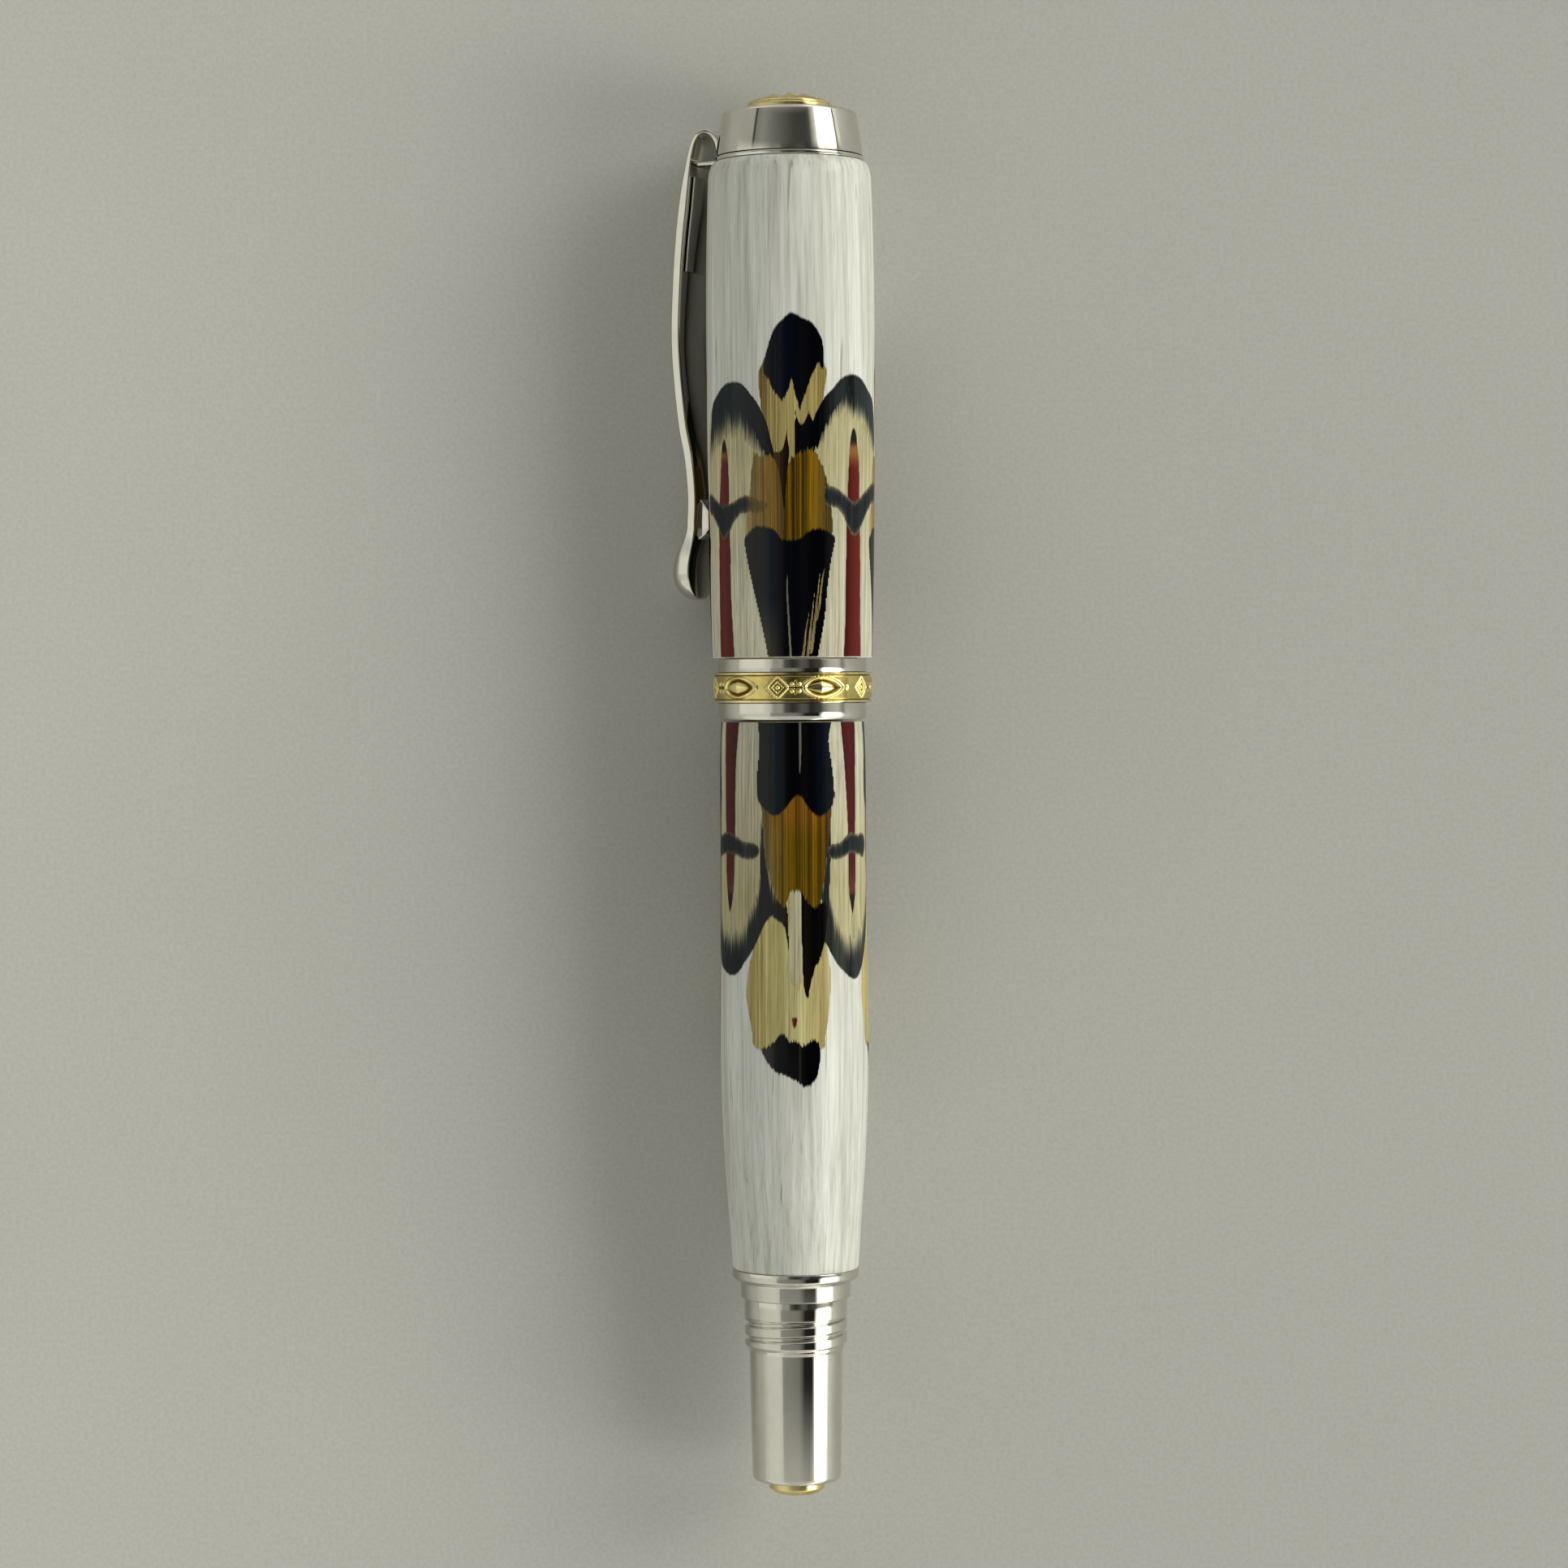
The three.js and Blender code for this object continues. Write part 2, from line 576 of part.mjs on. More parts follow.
function buildNib() {
  const stations = [NIB_REAR_Y, 34, 38, 43, 48, NIB_TIP_Y];
  const outside = stations.map((y) => [nibRadius(y), y]);
  const inside = stations.map((y) => [nibRadius(y) - NIB_THICK, y]).reverse();
  const shell = solidOf(turned([...outside, ...inside]));

  // Seen from above: a parallel shank, shoulders, then two tines that close to a point
  const plan = new THREE.Shape();
  plan.moveTo(-2.5, NIB_REAR_Y - 1);
  plan.lineTo(2.5, NIB_REAR_Y - 1);
  plan.lineTo(2.5, 33);
  plan.quadraticCurveTo(3.1, 36.5, 2.6, 39.5);
  plan.quadraticCurveTo(1.7, 45, 0.42, NIB_TIP_Y - 0.6);
  plan.quadraticCurveTo(0.35, NIB_TIP_Y - 0.1, 0, NIB_TIP_Y - 0.02);
  plan.quadraticCurveTo(-0.35, NIB_TIP_Y - 0.1, -0.42, NIB_TIP_Y - 0.6);
  plan.quadraticCurveTo(-1.7, 45, -2.6, 39.5);
  plan.quadraticCurveTo(-3.1, 36.5, -2.5, 33);
  plan.closePath();
  const prism = new THREE.ExtrudeGeometry(plan, { depth: 5, bevelEnabled: false, curveSegments: 6 });

  const breatherY = 42;
  const breather = new THREE.CylinderGeometry(0.5, 0.5, 6, 16);
  breather.rotateX(Math.PI / 2);
  breather.translate(0, breatherY, 2);
  const slit = new THREE.BoxGeometry(0.14, NIB_TIP_Y - breatherY + 1, 6);
  slit.translate(0, (NIB_TIP_Y + breatherY + 1) / 2, 2);
  const nib = shell.intersect(solidOf(prism))
    .subtract(solidOf(breather))
    .subtract(solidOf(slit));
  add('nib', geometryOf(nib), 'steel');
}

function buildFeed() {
  const clear = NIB_THICK + 0.15;
  const outline = [[0, 21], [nibRadius(21) - clear, 21]];
  const finFrom = 35;
  const finTo = 44;
  const fins = 5;
  const pitch = (finTo - finFrom) / fins;
  for (let i = 0; i < fins; i += 1) {
    const y = finFrom + i * pitch;
    const r = nibRadius(y + pitch) - clear;
    outline.push([r, y], [r, y + 0.5 * pitch], [r - 0.6, y + 0.5 * pitch], [r - 0.6, y + pitch]);
  }
  outline.push([nibRadius(finTo) - clear, finTo], [nibRadius(49) - clear, 49], [0.3, 50], [0, 50]);
  add('feed', turned(outline, FINE_SIDES), 'black');
}

// ---------------------------------------------------------------------------------------------
// Converter
// ---------------------------------------------------------------------------------------------

function buildConverter() {
  const bore = CONVERTER_R - CONVERTER_WALL;
  const mouthPlug = bore - FIT_GAP;
  const mouth = [
    [mouthPlug, 8.2], [mouthPlug, CONVERTER_TUBE_Y + 0.1], [CONVERTER_R, CONVERTER_TUBE_Y + 0.1],
    [CONVERTER_R, 16], [CONVERTER_R - 0.6, CONVERTER_FRONT_Y],
    [NIPPLE_R + 0.15, CONVERTER_FRONT_Y], [NIPPLE_R + 0.15, 8.2],
  ];
  add('converter_mouth', turned(mouth), 'black');
  const glass = tube(CONVERTER_R, bore, CONVERTER_TUBE_REAR_Y, CONVERTER_TUBE_Y);
  add('converter_tube', glass, 'clear');
  const band = tube(
    CONVERTER_R + 0.1, ROD_R + 0.2, CONVERTER_BAND_REAR_Y, CONVERTER_TUBE_REAR_Y - STEP_GAP,
  );
  add('converter_band', band, 'chrome');

  const pistonR = bore - 0.08;
  const piston = [
    [0, PISTON_REAR_Y], [pistonR, PISTON_REAR_Y], [pistonR, 4.9], [pistonR - 0.5, 5.2],
    [pistonR - 0.5, 6.2], [pistonR, 6.5], [pistonR, 7.1], [pistonR - 0.9, PISTON_FRONT_Y],
    [0, PISTON_FRONT_Y],
  ];
  add('converter_piston', turned(piston), 'rubber');
  const rodEnd = -25;
  const rodTop = PISTON_REAR_Y - STEP_GAP;
  const turns = 6;
  const pitch = (rodTop - 0.6 - (rodEnd + 0.6)) / turns;
  const rod = [
    [0, rodEnd], [ROD_R - 0.25, rodEnd], ...ridges(ROD_R, ROD_R - 0.25, rodEnd + 0.6, pitch, turns),
    [ROD_R - 0.25, rodTop], [0, rodTop],
  ];
  add('converter_rod', turned(rod, FINE_SIDES), 'steel');

  // The knob is fluted round its outside and hollow for the rod
  const flutes = 12;
  const outline = new THREE.Shape();
  for (let i = 0; i < flutes * 2; i += 1) {
    const a = (Math.PI * i) / flutes;
    const r = i % 2 === 0 ? KNOB_R : KNOB_R - 0.3;
    const at = [r * Math.cos(a), r * Math.sin(a)];
    if (i === 0) {
      outline.moveTo(...at);
    } else {
      outline.lineTo(...at);
    }
  }
  outline.closePath();
  const hole = new THREE.Path();
  hole.absarc(0, 0, ROD_R + 0.25, 0, 2 * Math.PI, true);
  outline.holes.push(hole);
  const length = CONVERTER_BAND_REAR_Y - STEP_GAP - KNOB_REAR_Y;
  const knob = new THREE.ExtrudeGeometry(outline, {
    depth: length, bevelEnabled: false, curveSegments: 8,
  });
  knob.rotateX(-Math.PI / 2);
  knob.translate(0, KNOB_REAR_Y, 0);
  add('converter_knob', knob, 'black');
}

buildCapSleeve();
buildCapTubes();
buildInnerCap();
buildFinial();
buildCentreBand();
buildClipRing();
buildClip();
buildBarrelSleeve();
buildBarrelTubes();
buildRearCoupler();
buildTail();
buildSection();
buildNib();
buildFeed();
buildConverter();

export default pen;
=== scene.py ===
import math

import bmesh
import bpy
import numpy as np
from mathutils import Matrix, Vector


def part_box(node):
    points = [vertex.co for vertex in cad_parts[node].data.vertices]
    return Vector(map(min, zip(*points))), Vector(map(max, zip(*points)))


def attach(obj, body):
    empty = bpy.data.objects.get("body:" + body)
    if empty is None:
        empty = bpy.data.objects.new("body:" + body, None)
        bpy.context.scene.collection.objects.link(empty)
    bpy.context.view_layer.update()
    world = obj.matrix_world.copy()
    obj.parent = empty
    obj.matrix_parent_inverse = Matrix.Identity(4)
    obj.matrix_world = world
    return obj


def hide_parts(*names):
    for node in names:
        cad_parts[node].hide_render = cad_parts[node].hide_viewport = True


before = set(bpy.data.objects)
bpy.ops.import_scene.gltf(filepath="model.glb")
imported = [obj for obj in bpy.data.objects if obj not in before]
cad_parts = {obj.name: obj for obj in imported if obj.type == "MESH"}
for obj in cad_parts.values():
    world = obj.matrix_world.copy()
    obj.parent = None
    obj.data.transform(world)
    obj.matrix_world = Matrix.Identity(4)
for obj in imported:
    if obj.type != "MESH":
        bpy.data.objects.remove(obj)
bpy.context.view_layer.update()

# Sizes in millimetres. The pen's axis runs along Y. Angles go round it from the top,
# positive towards +X, and are in degrees.

MM = 0.001
axis_low, axis_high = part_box("cap_sleeve")
AXIS_Z = (axis_low.z + axis_high.z) / 2 / MM
INSET = 0.06  # the resin's skin lies this far inside the CAD surface, to leave room for feathers
LAYER = 0.004  # feathers lie on each other this far apart
BARB_STEP = 0.4  # length between a barb's rows of points
BARB_POINT = 0.45  # a barb narrows over this length at a jagged end
BAND_RADIUS = 7.84  # the gold band's, over its relief
BAND_MIDDLE = 10.37
BAND_RELIEF = 0.2  # depth of the band's relief
FINE = 192  # sides of the large turned pieces
MEDIUM = 96  # sides of the small turned pieces
CAP_BULGE = 8.36  # the cap's largest radius
CAP_BULGE_Y = 46.2  # and its place


def cap_radius(y):
    below = CAP_BULGE - 0.44 * ((CAP_BULGE_Y - y) / 32.9) ** 2
    above = CAP_BULGE - 0.26 * ((y - CAP_BULGE_Y) / 13.8) ** 2
    return np.where(y < CAP_BULGE_Y, below, above)


# The radii of the barrel along it, as in the CAD
BARREL_Y = [7.05, -3.8, -18, -27, -33, -36.8, -40.6, -44.2, -46.6]
BARREL_R = [7.04, 7.2, 7.31, 7.3, 7.15, 6.96, 6.65, 6.4, 6.27]
barrel_curve = np.polynomial.Polynomial.fit(BARREL_Y, BARREL_R, 5)


def barrel_radius(y):
    return barrel_curve(np.asarray(y, float))


def on_pen(angle, y, radius):
    """Points at angles in degrees round the pen's axis, in metres."""
    a = np.radians(angle)
    return np.stack([radius * np.sin(a), y, AXIS_Z + radius * np.cos(a)], -1) * MM


# Materials


def linear(color):
    """An sRGB colour from 0 to 255, or rows of them, as linear values."""
    c = np.asarray(color, float) / 255
    return np.where(c <= 0.04045, c / 12.92, ((c + 0.055) / 1.055) ** 2.4)


def rgba(color):
    return (*[float(x) for x in linear(color)], 1.0)


def add_node(tree, kind, inputs=None, **settings):
    node = tree.nodes.new(kind)
    for key, value in settings.items():
        setattr(node, key, value)
    for key, value in (inputs or {}).items():
        if isinstance(value, bpy.types.NodeSocket):
            tree.links.new(value, node.inputs[key])
        else:
            node.inputs[key].default_value = value
    return node


def add_ramp(tree, factor, stops):
    """A colour ramp through stops of (place, linear colour)."""
    node = add_node(tree, "ShaderNodeValToRGB", {"Fac": factor})
    elements = node.color_ramp.elements
    while len(elements) < len(stops):
        elements.new(0.5)
    for element, (place, color) in zip(elements, stops):
        element.position = place
        element.color = color
    return node.outputs["Color"]


class Look:
    """A material with one Principled shader, and short ways to add nodes to it."""

    def __init__(self, name, **sockets):
        self.material = bpy.data.materials.new(name)
        self.material.use_nodes = True
        self.tree = self.material.node_tree
        self.shader = self.tree.nodes["Principled BSDF"]
        for key, value in sockets.items():
            self.set(key.replace("_", " ").title().replace("Ior", "IOR"), value)
        self.place = self.node("ShaderNodeTexCoord").outputs["Object"]

    def set(self, socket, value):
        if isinstance(value, bpy.types.NodeSocket):
            self.tree.links.new(value, self.shader.inputs[socket])
        elif isinstance(value, tuple) and len(value) == 3:
            self.shader.inputs[socket].default_value = rgba(value)
        else:
            self.shader.inputs[socket].default_value = value

    def node(self, kind, inputs=None, **settings):
        return add_node(self.tree, kind, inputs, **settings)

    def noise(self, per_mm, detail=4, roughness=0.55, distortion=0.0, tilt=0.0):
        """Noise with so many features per millimetre along X, Y and Z, turned by the tilt."""
        turned = {"Vector": self.place, "Rotation": (0, 0, math.radians(tilt))}
        turned = self.node("ShaderNodeMapping", turned).outputs[0]
        scale = [v / MM for v in per_mm]
        place = self.node("ShaderNodeMapping", {"Vector": turned, "Scale": scale})
        values = {"Vector": place.outputs[0], "Scale": 1.0, "Detail": detail}
        values.update({"Roughness": roughness, "Distortion": distortion})
        return self.node("ShaderNodeTexNoise", values).outputs["Fac"]

    def ramp(self, factor, stops):
        return add_ramp(self.tree, factor, [(place, rgba(color)) for place, color in stops])

    def span(self, factor, low, high, source=(0.3, 0.7)):
        values = {"Value": factor, "From Min": source[0], "From Max": source[1]}
        values.update({"To Min": low, "To Max": high})
        return self.node("ShaderNodeMapRange", values).outputs["Result"]

    def times(self, color, other):
        node = self.node("ShaderNodeMix", data_type="RGBA", blend_type="MULTIPLY")
        node.inputs["Factor"].default_value = 1.0
        self.tree.links.new(color, node.inputs["A"])
        self.tree.links.new(other, node.inputs["B"])
        return node.outputs["Result"]

    def bump(self, height, distance, strength=1.0):
        values = {"Height": height, "Distance": distance * MM, "Strength": strength}
        self.set("Normal", self.node("ShaderNodeBump", values).outputs["Normal"])


def polished(name, light, dark, rough, grain=(0.4, 9, 0.4), wear=0.01):
    """Polished or turned metal: fine turning lines, faint smudges and a little tone."""
    look = Look(name, metallic=1.0)
    lines = look.noise(grain, detail=3)
    smudge = look.noise((0.35, 0.25, 0.35), detail=5, roughness=0.6)
    look.set("Base Color", look.ramp(smudge, [(0.3, dark), (0.62, light)]))
    look.set("Roughness", look.span(smudge, rough * 0.7, rough * 1.5))
    look.bump(lines, wear * 0.1, 0.35)
    return look.material


def plastic(name, light, dark, rough, grain=3.0, bump=0.01):
    look = Look(name, specular_ior_level=0.5)
    fleck = look.noise((grain, grain, grain), detail=6)
    look.set("Base Color", look.ramp(fleck, [(0.35, dark), (0.65, light)]))
    look.set("Roughness", look.span(fleck, rough * 0.8, rough * 1.3))
    look.bump(fleck, bump, 0.4)
    return look.material


def under_resin(name, **sockets):
    """A look with the clear, polished resin over it."""
    look = Look(name, roughness=0.6, specular_ior_level=0.0, **sockets)
    look.set("Coat Weight", 0.45)
    look.set("Coat Roughness", 0.025)
    look.set("Coat IOR", 1.5)
    return look


def white_feather(name):
    """White barbs: soft broad streaks, finer ones a little aslant, and a few dark lines."""
    look = under_resin(name)
    broad = look.noise((0.4, 0.02, 0.4), detail=3, roughness=0.6, distortion=0.1, tilt=1.5)
    barbs = look.noise((1.7, 0.035, 1.7), detail=6, roughness=0.62, distortion=0.25, tilt=-1.0)
    fine = look.noise((6, 0.1, 6), detail=4, roughness=0.6, distortion=0.1, tilt=0.8)
    lines = look.noise((3.1, 0.045, 3.1), detail=2, roughness=0.4, distortion=0.3, tilt=2.5)
    tone = look.ramp(barbs, [(0.3, (200, 201, 196)), (0.45, (219, 220, 216)), (0.6, (232, 233, 230)),
        (0.72, (244, 245, 243))])
    shade = look.ramp(broad, [(0.34, (230, 230, 226)), (0.6, (254, 254, 254))])
    thread = look.ramp(fine, [(0.3, (230, 230, 226)), (0.5, (254, 254, 254))])
    dark = look.ramp(lines, [(0.26, (204, 204, 199)), (0.34, (254, 254, 254))])
    color = look.times(look.times(tone, shade), look.times(thread, dark))
    look.set("Base Color", color)
    look.bump(barbs, 0.03, 0.25)
    return look.material


def tinted_feather(name, stripe):
    """Barbs whose colour is in the mesh's tint, with finer streaks along them."""
    look = under_resin(name)
    tint = look.node("ShaderNodeAttribute", attribute_name="tint").outputs["Color"]
    fine = look.noise((7, 0.16, 7), detail=5, roughness=0.65, distortion=0.1, tilt=1.0)
    low = int(255 * (1 - stripe))
    thread = look.ramp(fine, [(0.32, (low, low, low)), (0.56, (252, 252, 252))])
    look.set("Base Color", look.times(tint, thread))
    look.bump(fine, 0.02, 0.3)
    return look.material


def relief_gold_painted_shade():
    """Pale gold with painted shade in its recesses: it knows them by the distance from the axis."""
    look = Look("relief_gold_painted_shade", metallic=1.0)
    flat = {"Vector": look.place, "Location": (0, 0, -AXIS_Z * MM), "Scale": (1, 0, 1)}
    flat = look.node("ShaderNodeMapping", flat).outputs[0]
    reach = look.node("ShaderNodeVectorMath", {0: flat}, operation="LENGTH").outputs["Value"]
    raised = look.span(reach, 0, 1, ((BAND_RADIUS - BAND_RELIEF) * MM, (BAND_RADIUS - 0.02) * MM))
    smudge = look.noise((1.2, 1.2, 1.2), detail=5)
    # Painted shade: the lower the relief, the darker the gold, down to a dark brown in the hollows.
    tone = look.ramp(raised, [(0.0, (84, 66, 22)), (0.25, (170, 146, 74)), (0.45, (226, 206, 130)),
        (0.9, (248, 234, 174))])
    wear = look.ramp(smudge, [(0.3, (226, 222, 208)), (0.6, (254, 254, 252))])
    look.set("Base Color", look.times(tone, wear))
    look.set("Roughness", look.span(smudge, 0.12, 0.22))
    look.bump(look.noise((6, 6, 6), detail=3), 0.004, 0.4)
    return look.material


CHROME = polished("chrome", (222, 220, 212), (212, 209, 199), 0.016)
STEEL = polished("steel", (206, 204, 198), (180, 178, 170), 0.16, grain=(6, 0.4, 6))
GOLD = polished("gold", (238, 222, 164), (206, 184, 118), 0.24, grain=(3, 3, 3), wear=0.02)
RELIEF_GOLD = relief_gold_painted_shade()
BRASS = polished("brass", (206, 172, 96), (160, 124, 60), 0.3, grain=(0.5, 6, 0.5), wear=0.05)
BLACK = plastic("black_plastic", (30, 31, 33), (18, 18, 20), 0.22)
RUBBER = plastic("rubber", (44, 44, 44), (26, 26, 27), 0.75, grain=8, bump=0.03)
WHITE = white_feather("white_feather")
PLUMAGE = tinted_feather("plumage", 0.2)
SHAFTS = tinted_feather("shafts", 0.1)


def clear_plastic():
    look = Look("clear_plastic", transmission_weight=1.0, ior=1.49)
    ripple = look.noise((0.5, 0.2, 0.5), detail=2)
    look.set("Base Color", look.ramp(ripple, [(0.3, (226, 234, 236)), (0.7, (243, 247, 248))]))
    look.set("Roughness", look.span(ripple, 0.02, 0.07))
    return look.material


CLEAR = clear_plastic()

# Turning outlines into pieces


def make(name, points, faces, material, body, replaces=(), sharp=35, tint=None):
    """A piece from points in metres. Its edges above the sharp angle stay crisp."""
    mesh = bpy.data.meshes.new(name)
    mesh.from_pydata(np.asarray(points).reshape(-1, 3).tolist(), [], faces)
    if tint is not None:
        layer = mesh.color_attributes.new("tint", "FLOAT_COLOR", "POINT")
        flat = np.ones((len(tint), 4), np.float32)
        flat[:, :3] = tint
        layer.data.foreach_set("color", flat.ravel())
    else:
        clean = bmesh.new()
        clean.from_mesh(mesh)
        bmesh.ops.remove_doubles(clean, verts=clean.verts, dist=2e-6)
        bmesh.ops.dissolve_degenerate(clean, edges=clean.edges, dist=1e-7)
        bmesh.ops.recalc_face_normals(clean, faces=clean.faces)
        clean.to_mesh(mesh)
        clean.free()
    mesh.polygons.foreach_set("use_smooth", [True] * len(mesh.polygons))
    mesh.set_sharp_from_angle(angle=math.radians(sharp))
    mesh.materials.append(material)
    piece = bpy.data.objects.new(name, mesh)
    bpy.context.scene.collection.objects.link(piece)
    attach(piece, body)
    if replaces:
        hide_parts(*replaces)
    return piece


def softened(outline, default):
    """A closed outline of [radius, y] or [radius, y, rounding] with its corners rounded."""
    out = []
    count = len(outline)
    for i, point in enumerate(outline):
        here = np.array(point[:2], float)
        back = np.array(outline[i - 1][:2], float) - here
        ahead = np.array(outline[(i + 1) % count][:2], float) - here
        size = point[2] if len(point) > 2 else default
        lengths = np.linalg.norm(back), np.linalg.norm(ahead)
        straight = np.dot(back, ahead) / (lengths[0] * lengths[1]) < -0.985
        if here[0] <= 0 or size == 0 or straight:
            out.append(here)
            continue
        start = here + back / lengths[0] * min(size, 0.45 * lengths[0])
        end = here + ahead / lengths[1] * min(size, 0.45 * lengths[1])
        for t in np.linspace(0, 1, 4):
            out.append((1 - t) ** 2 * start + 2 * t * (1 - t) * here + t * t * end)
    return np.array(out)


def lathe(name, outline, material, body, sides=FINE, shape=None, soft=0.06, **more):
    """Turns a closed outline round the pen's axis. shape(angle, radius, y) may change it."""
    points = softened(outline, soft) if soft else np.array([p[:2] for p in outline], float)
    rows = len(points)
    angle = np.arange(sides) * 360 / sides
    a, radius = np.meshgrid(angle, points[:, 0])
    y = np.repeat(points[:, 1:2], sides, 1)
    if shape:
        radius, y = shape(a, radius, y)
    faces = []
    for i in range(rows):
        k = (i + 1) % rows
        if points[i, 0] <= 0 and points[k, 0] <= 0:
            continue
        for j in range(sides):
            n = (j + 1) % sides
            faces.append((i * sides + j, i * sides + n, k * sides + n, k * sides + j))
    return make(name, on_pen(a, y, radius), faces, material, body, **more)


def column(radius, low, high, step):
    """Rows at one radius, close enough together to carry a relief."""
    count = max(1, int(math.ceil(abs(high - low) / step)))
    return [(radius, low + (high - low) * i / count, 0) for i in range(count + 1)]


def smooth(value, low, high):
    t = np.clip((value - low) / (high - low), 0, 1)
    return t * t * (3 - 2 * t)


def thread(root, low, high, pitch, depth):
    """A screw thread on the rows whose radius is the root's: flat crests, narrow grooves."""

    def shape(angle, radius, y):
        turn = (y / pitch - angle / 360) % 1
        groove = np.minimum(turn, 1 - turn) * pitch
        ends = np.clip(np.minimum(y - low, high - y) / (0.3 * pitch), 0, 1)
        lift = depth * smooth(groove, 0.06 * pitch, 0.24 * pitch) * ends
        return radius + lift * (np.abs(radius - root) < 0.02), y

    return shape


# Turned resin and metal pieces


def resin_sleeves():
    low, shoulder, high = 13.28, 60, 62.05
    ys = np.linspace(low, shoulder, 90)
    outside = [(float(cap_radius(y)) - INSET, float(y), 0) for y in ys]
    for t in np.linspace(10, 90, 9):
        a = math.radians(t)
        outside.append((7.35 - INSET + 0.75 * math.cos(a), shoulder + 2.05 * math.sin(a), 0))
    outline = [*outside, (7.15, high, 0), (7.15, low, 0)]
    lathe("cap_sleeve_resin", outline, WHITE, "cap", sides=240, soft=0, sharp=50,
        replaces=["cap_sleeve", "cap_feather_inlay"])
    low, high = -46.72, 7.05
    ys = np.linspace(-46.55, 7, 110)
    outside = [(float(barrel_radius(y)) - INSET, float(y), 0) for y in ys]
    outline = [(6.12, low, 0), *outside, (6.85, high, 0), (5.95, high, 0), (5.95, low, 0)]
    lathe("barrel_sleeve_resin", outline, WHITE, "barrel", sides=240, soft=0, sharp=50,
        replaces=["barrel_sleeve", "barrel_feather_inlay"])


def rosette(centre_y, up, edge, petals, height):
    """A pressed flower relief on a disc that faces along the pen."""

    def shape(angle, radius, y):
        share = radius / edge
        wave = np.cos(np.radians(angle * petals))
        petal = np.clip(1 - np.abs(share - 0.5) / 0.22, 0, 1) * (0.5 + 0.5 * wave)
        beads = np.cos(np.radians(angle * petals * 3)) * (np.abs(share - 0.86) < 0.07)
        heart = np.clip(1 - share / 0.2, 0, 1) ** 0.5
        face = up * (y - centre_y) > 0
        lift = height * (petal + 0.45 * beads + 0.6 * heart) * face * (share < 0.97)
        return radius, y + up * (lift - height * 0.9 * face * (share < 0.97))

    return shape


def finial():
    outline = [(7.3, 62.6, 0.12), (6.62, 67, 0.35), (4.35, 67, 0.08), (4.35, 66.5, 0), (0, 66.5),
        (0, 65.9), (2.55, 65.9, 0.1), (2.55, 62.6, 0.1)]
    lathe("finial_cap", outline, CHROME, "cap", replaces=["finial_body"])
    ring = [(7.35, 62.1, 0.08), (7.35, 62.52, 0.12), (2.55, 62.52), (2.55, 62.1)]
    lathe("clip_washer", ring, CHROME, "cap", replaces=["clip_ring"])
    dome = [(4.25, 66.56, 0.05), (4.25, 67.6, 0.12)]
    for t in np.linspace(0, 88, 26):
        a = math.radians(t)
        dome.append((4.1 * math.cos(a), 67.72 + 1.08 * math.sin(a), 0))
    dome += [(0, 68.8), (0, 66.56)]
    flower = rosette(67.7, 1, 4.1, 8, 0.28)
    lathe("finial_medal", dome, GOLD, "cap", sides=240, soft=0.04, shape=flower,
        replaces=["finial_medallion"])


MOTIFS = [-139, -66, 0, 72, 147]  # degrees from a kind's front motif to all five of its kind


def gold_relief(angle, radius, y):
    """Pointed ovals, beads, diamonds and four-dot crosses, each five times round the band."""
    v = y - BAND_MIDDLE

    def across(centre):
        """Millimetres round the band from the nearest motif of a kind."""
        turns = np.stack([(angle - centre - m + 180) % 360 - 180 for m in MOTIFS])
        nearest = np.abs(turns).argmin(0)
        return np.radians(np.take_along_axis(turns, nearest[None], 0)[0]) * BAND_RADIUS

    def ridge(distance, width=0.13):
        return np.clip(1.25 - np.abs(distance) / width, 0, 1)

    def mound(distance, width):
        return np.sqrt(np.clip(1 - distance / width, 0, 1))

    height = np.full_like(radius, 0.45)
    u = across(23)
    power = np.where(u > 0, 1.5, 1.9)
    oval = ((np.abs(u) / 2.2) ** power + (np.abs(v) / 1.05) ** power) ** (1 / power)
    eye = np.abs(u + 0.2) / 1.5 + (v / 0.58) ** 2
    height = np.where(oval < 0.9, 0.0, height)
    height = np.where((oval > 0.98) & (oval < 1.07), 0.15, height)
    height = np.maximum(height, np.maximum(ridge((oval - 0.9) * 1.05, 0.15), mound(eye, 1.0)))
    u = across(-11)
    diamond = (np.abs(u) + np.abs(v)) / 1.2
    height = np.where(diamond < 1.1, 0.1, height)
    height = np.maximum(height, ridge((diamond - 0.9) * 0.85, 0.15))
    height = np.maximum(height, 0.8 * ridge((diamond - 0.5) * 0.85, 0.1))
    height = np.maximum(height, mound(np.hypot(u, v), 0.26))
    height = np.maximum(height, mound(np.hypot(across(-27.5), v), 0.36))
    u = across(2.3)
    cross = (np.minimum(np.abs(u), np.abs(v)) < 0.09) & (np.maximum(np.abs(u), np.abs(v)) < 0.7)
    height = np.where(cross, 0.0, height)
    for du, dv in ((0.36, 0.36), (-0.36, 0.36), (0.36, -0.36), (-0.36, -0.36)):
        height = np.maximum(height, mound(np.hypot(u - du, v - dv), 0.24))
    border = np.abs(v)
    height = np.where((border > 1.13) & (border < 1.22), 0.1, height)
    height = np.where(border > 1.22, 0.9, height)
    carved = radius - BAND_RELIEF + BAND_RELIEF * height
    return np.where(radius > 7.7, carved, radius), y


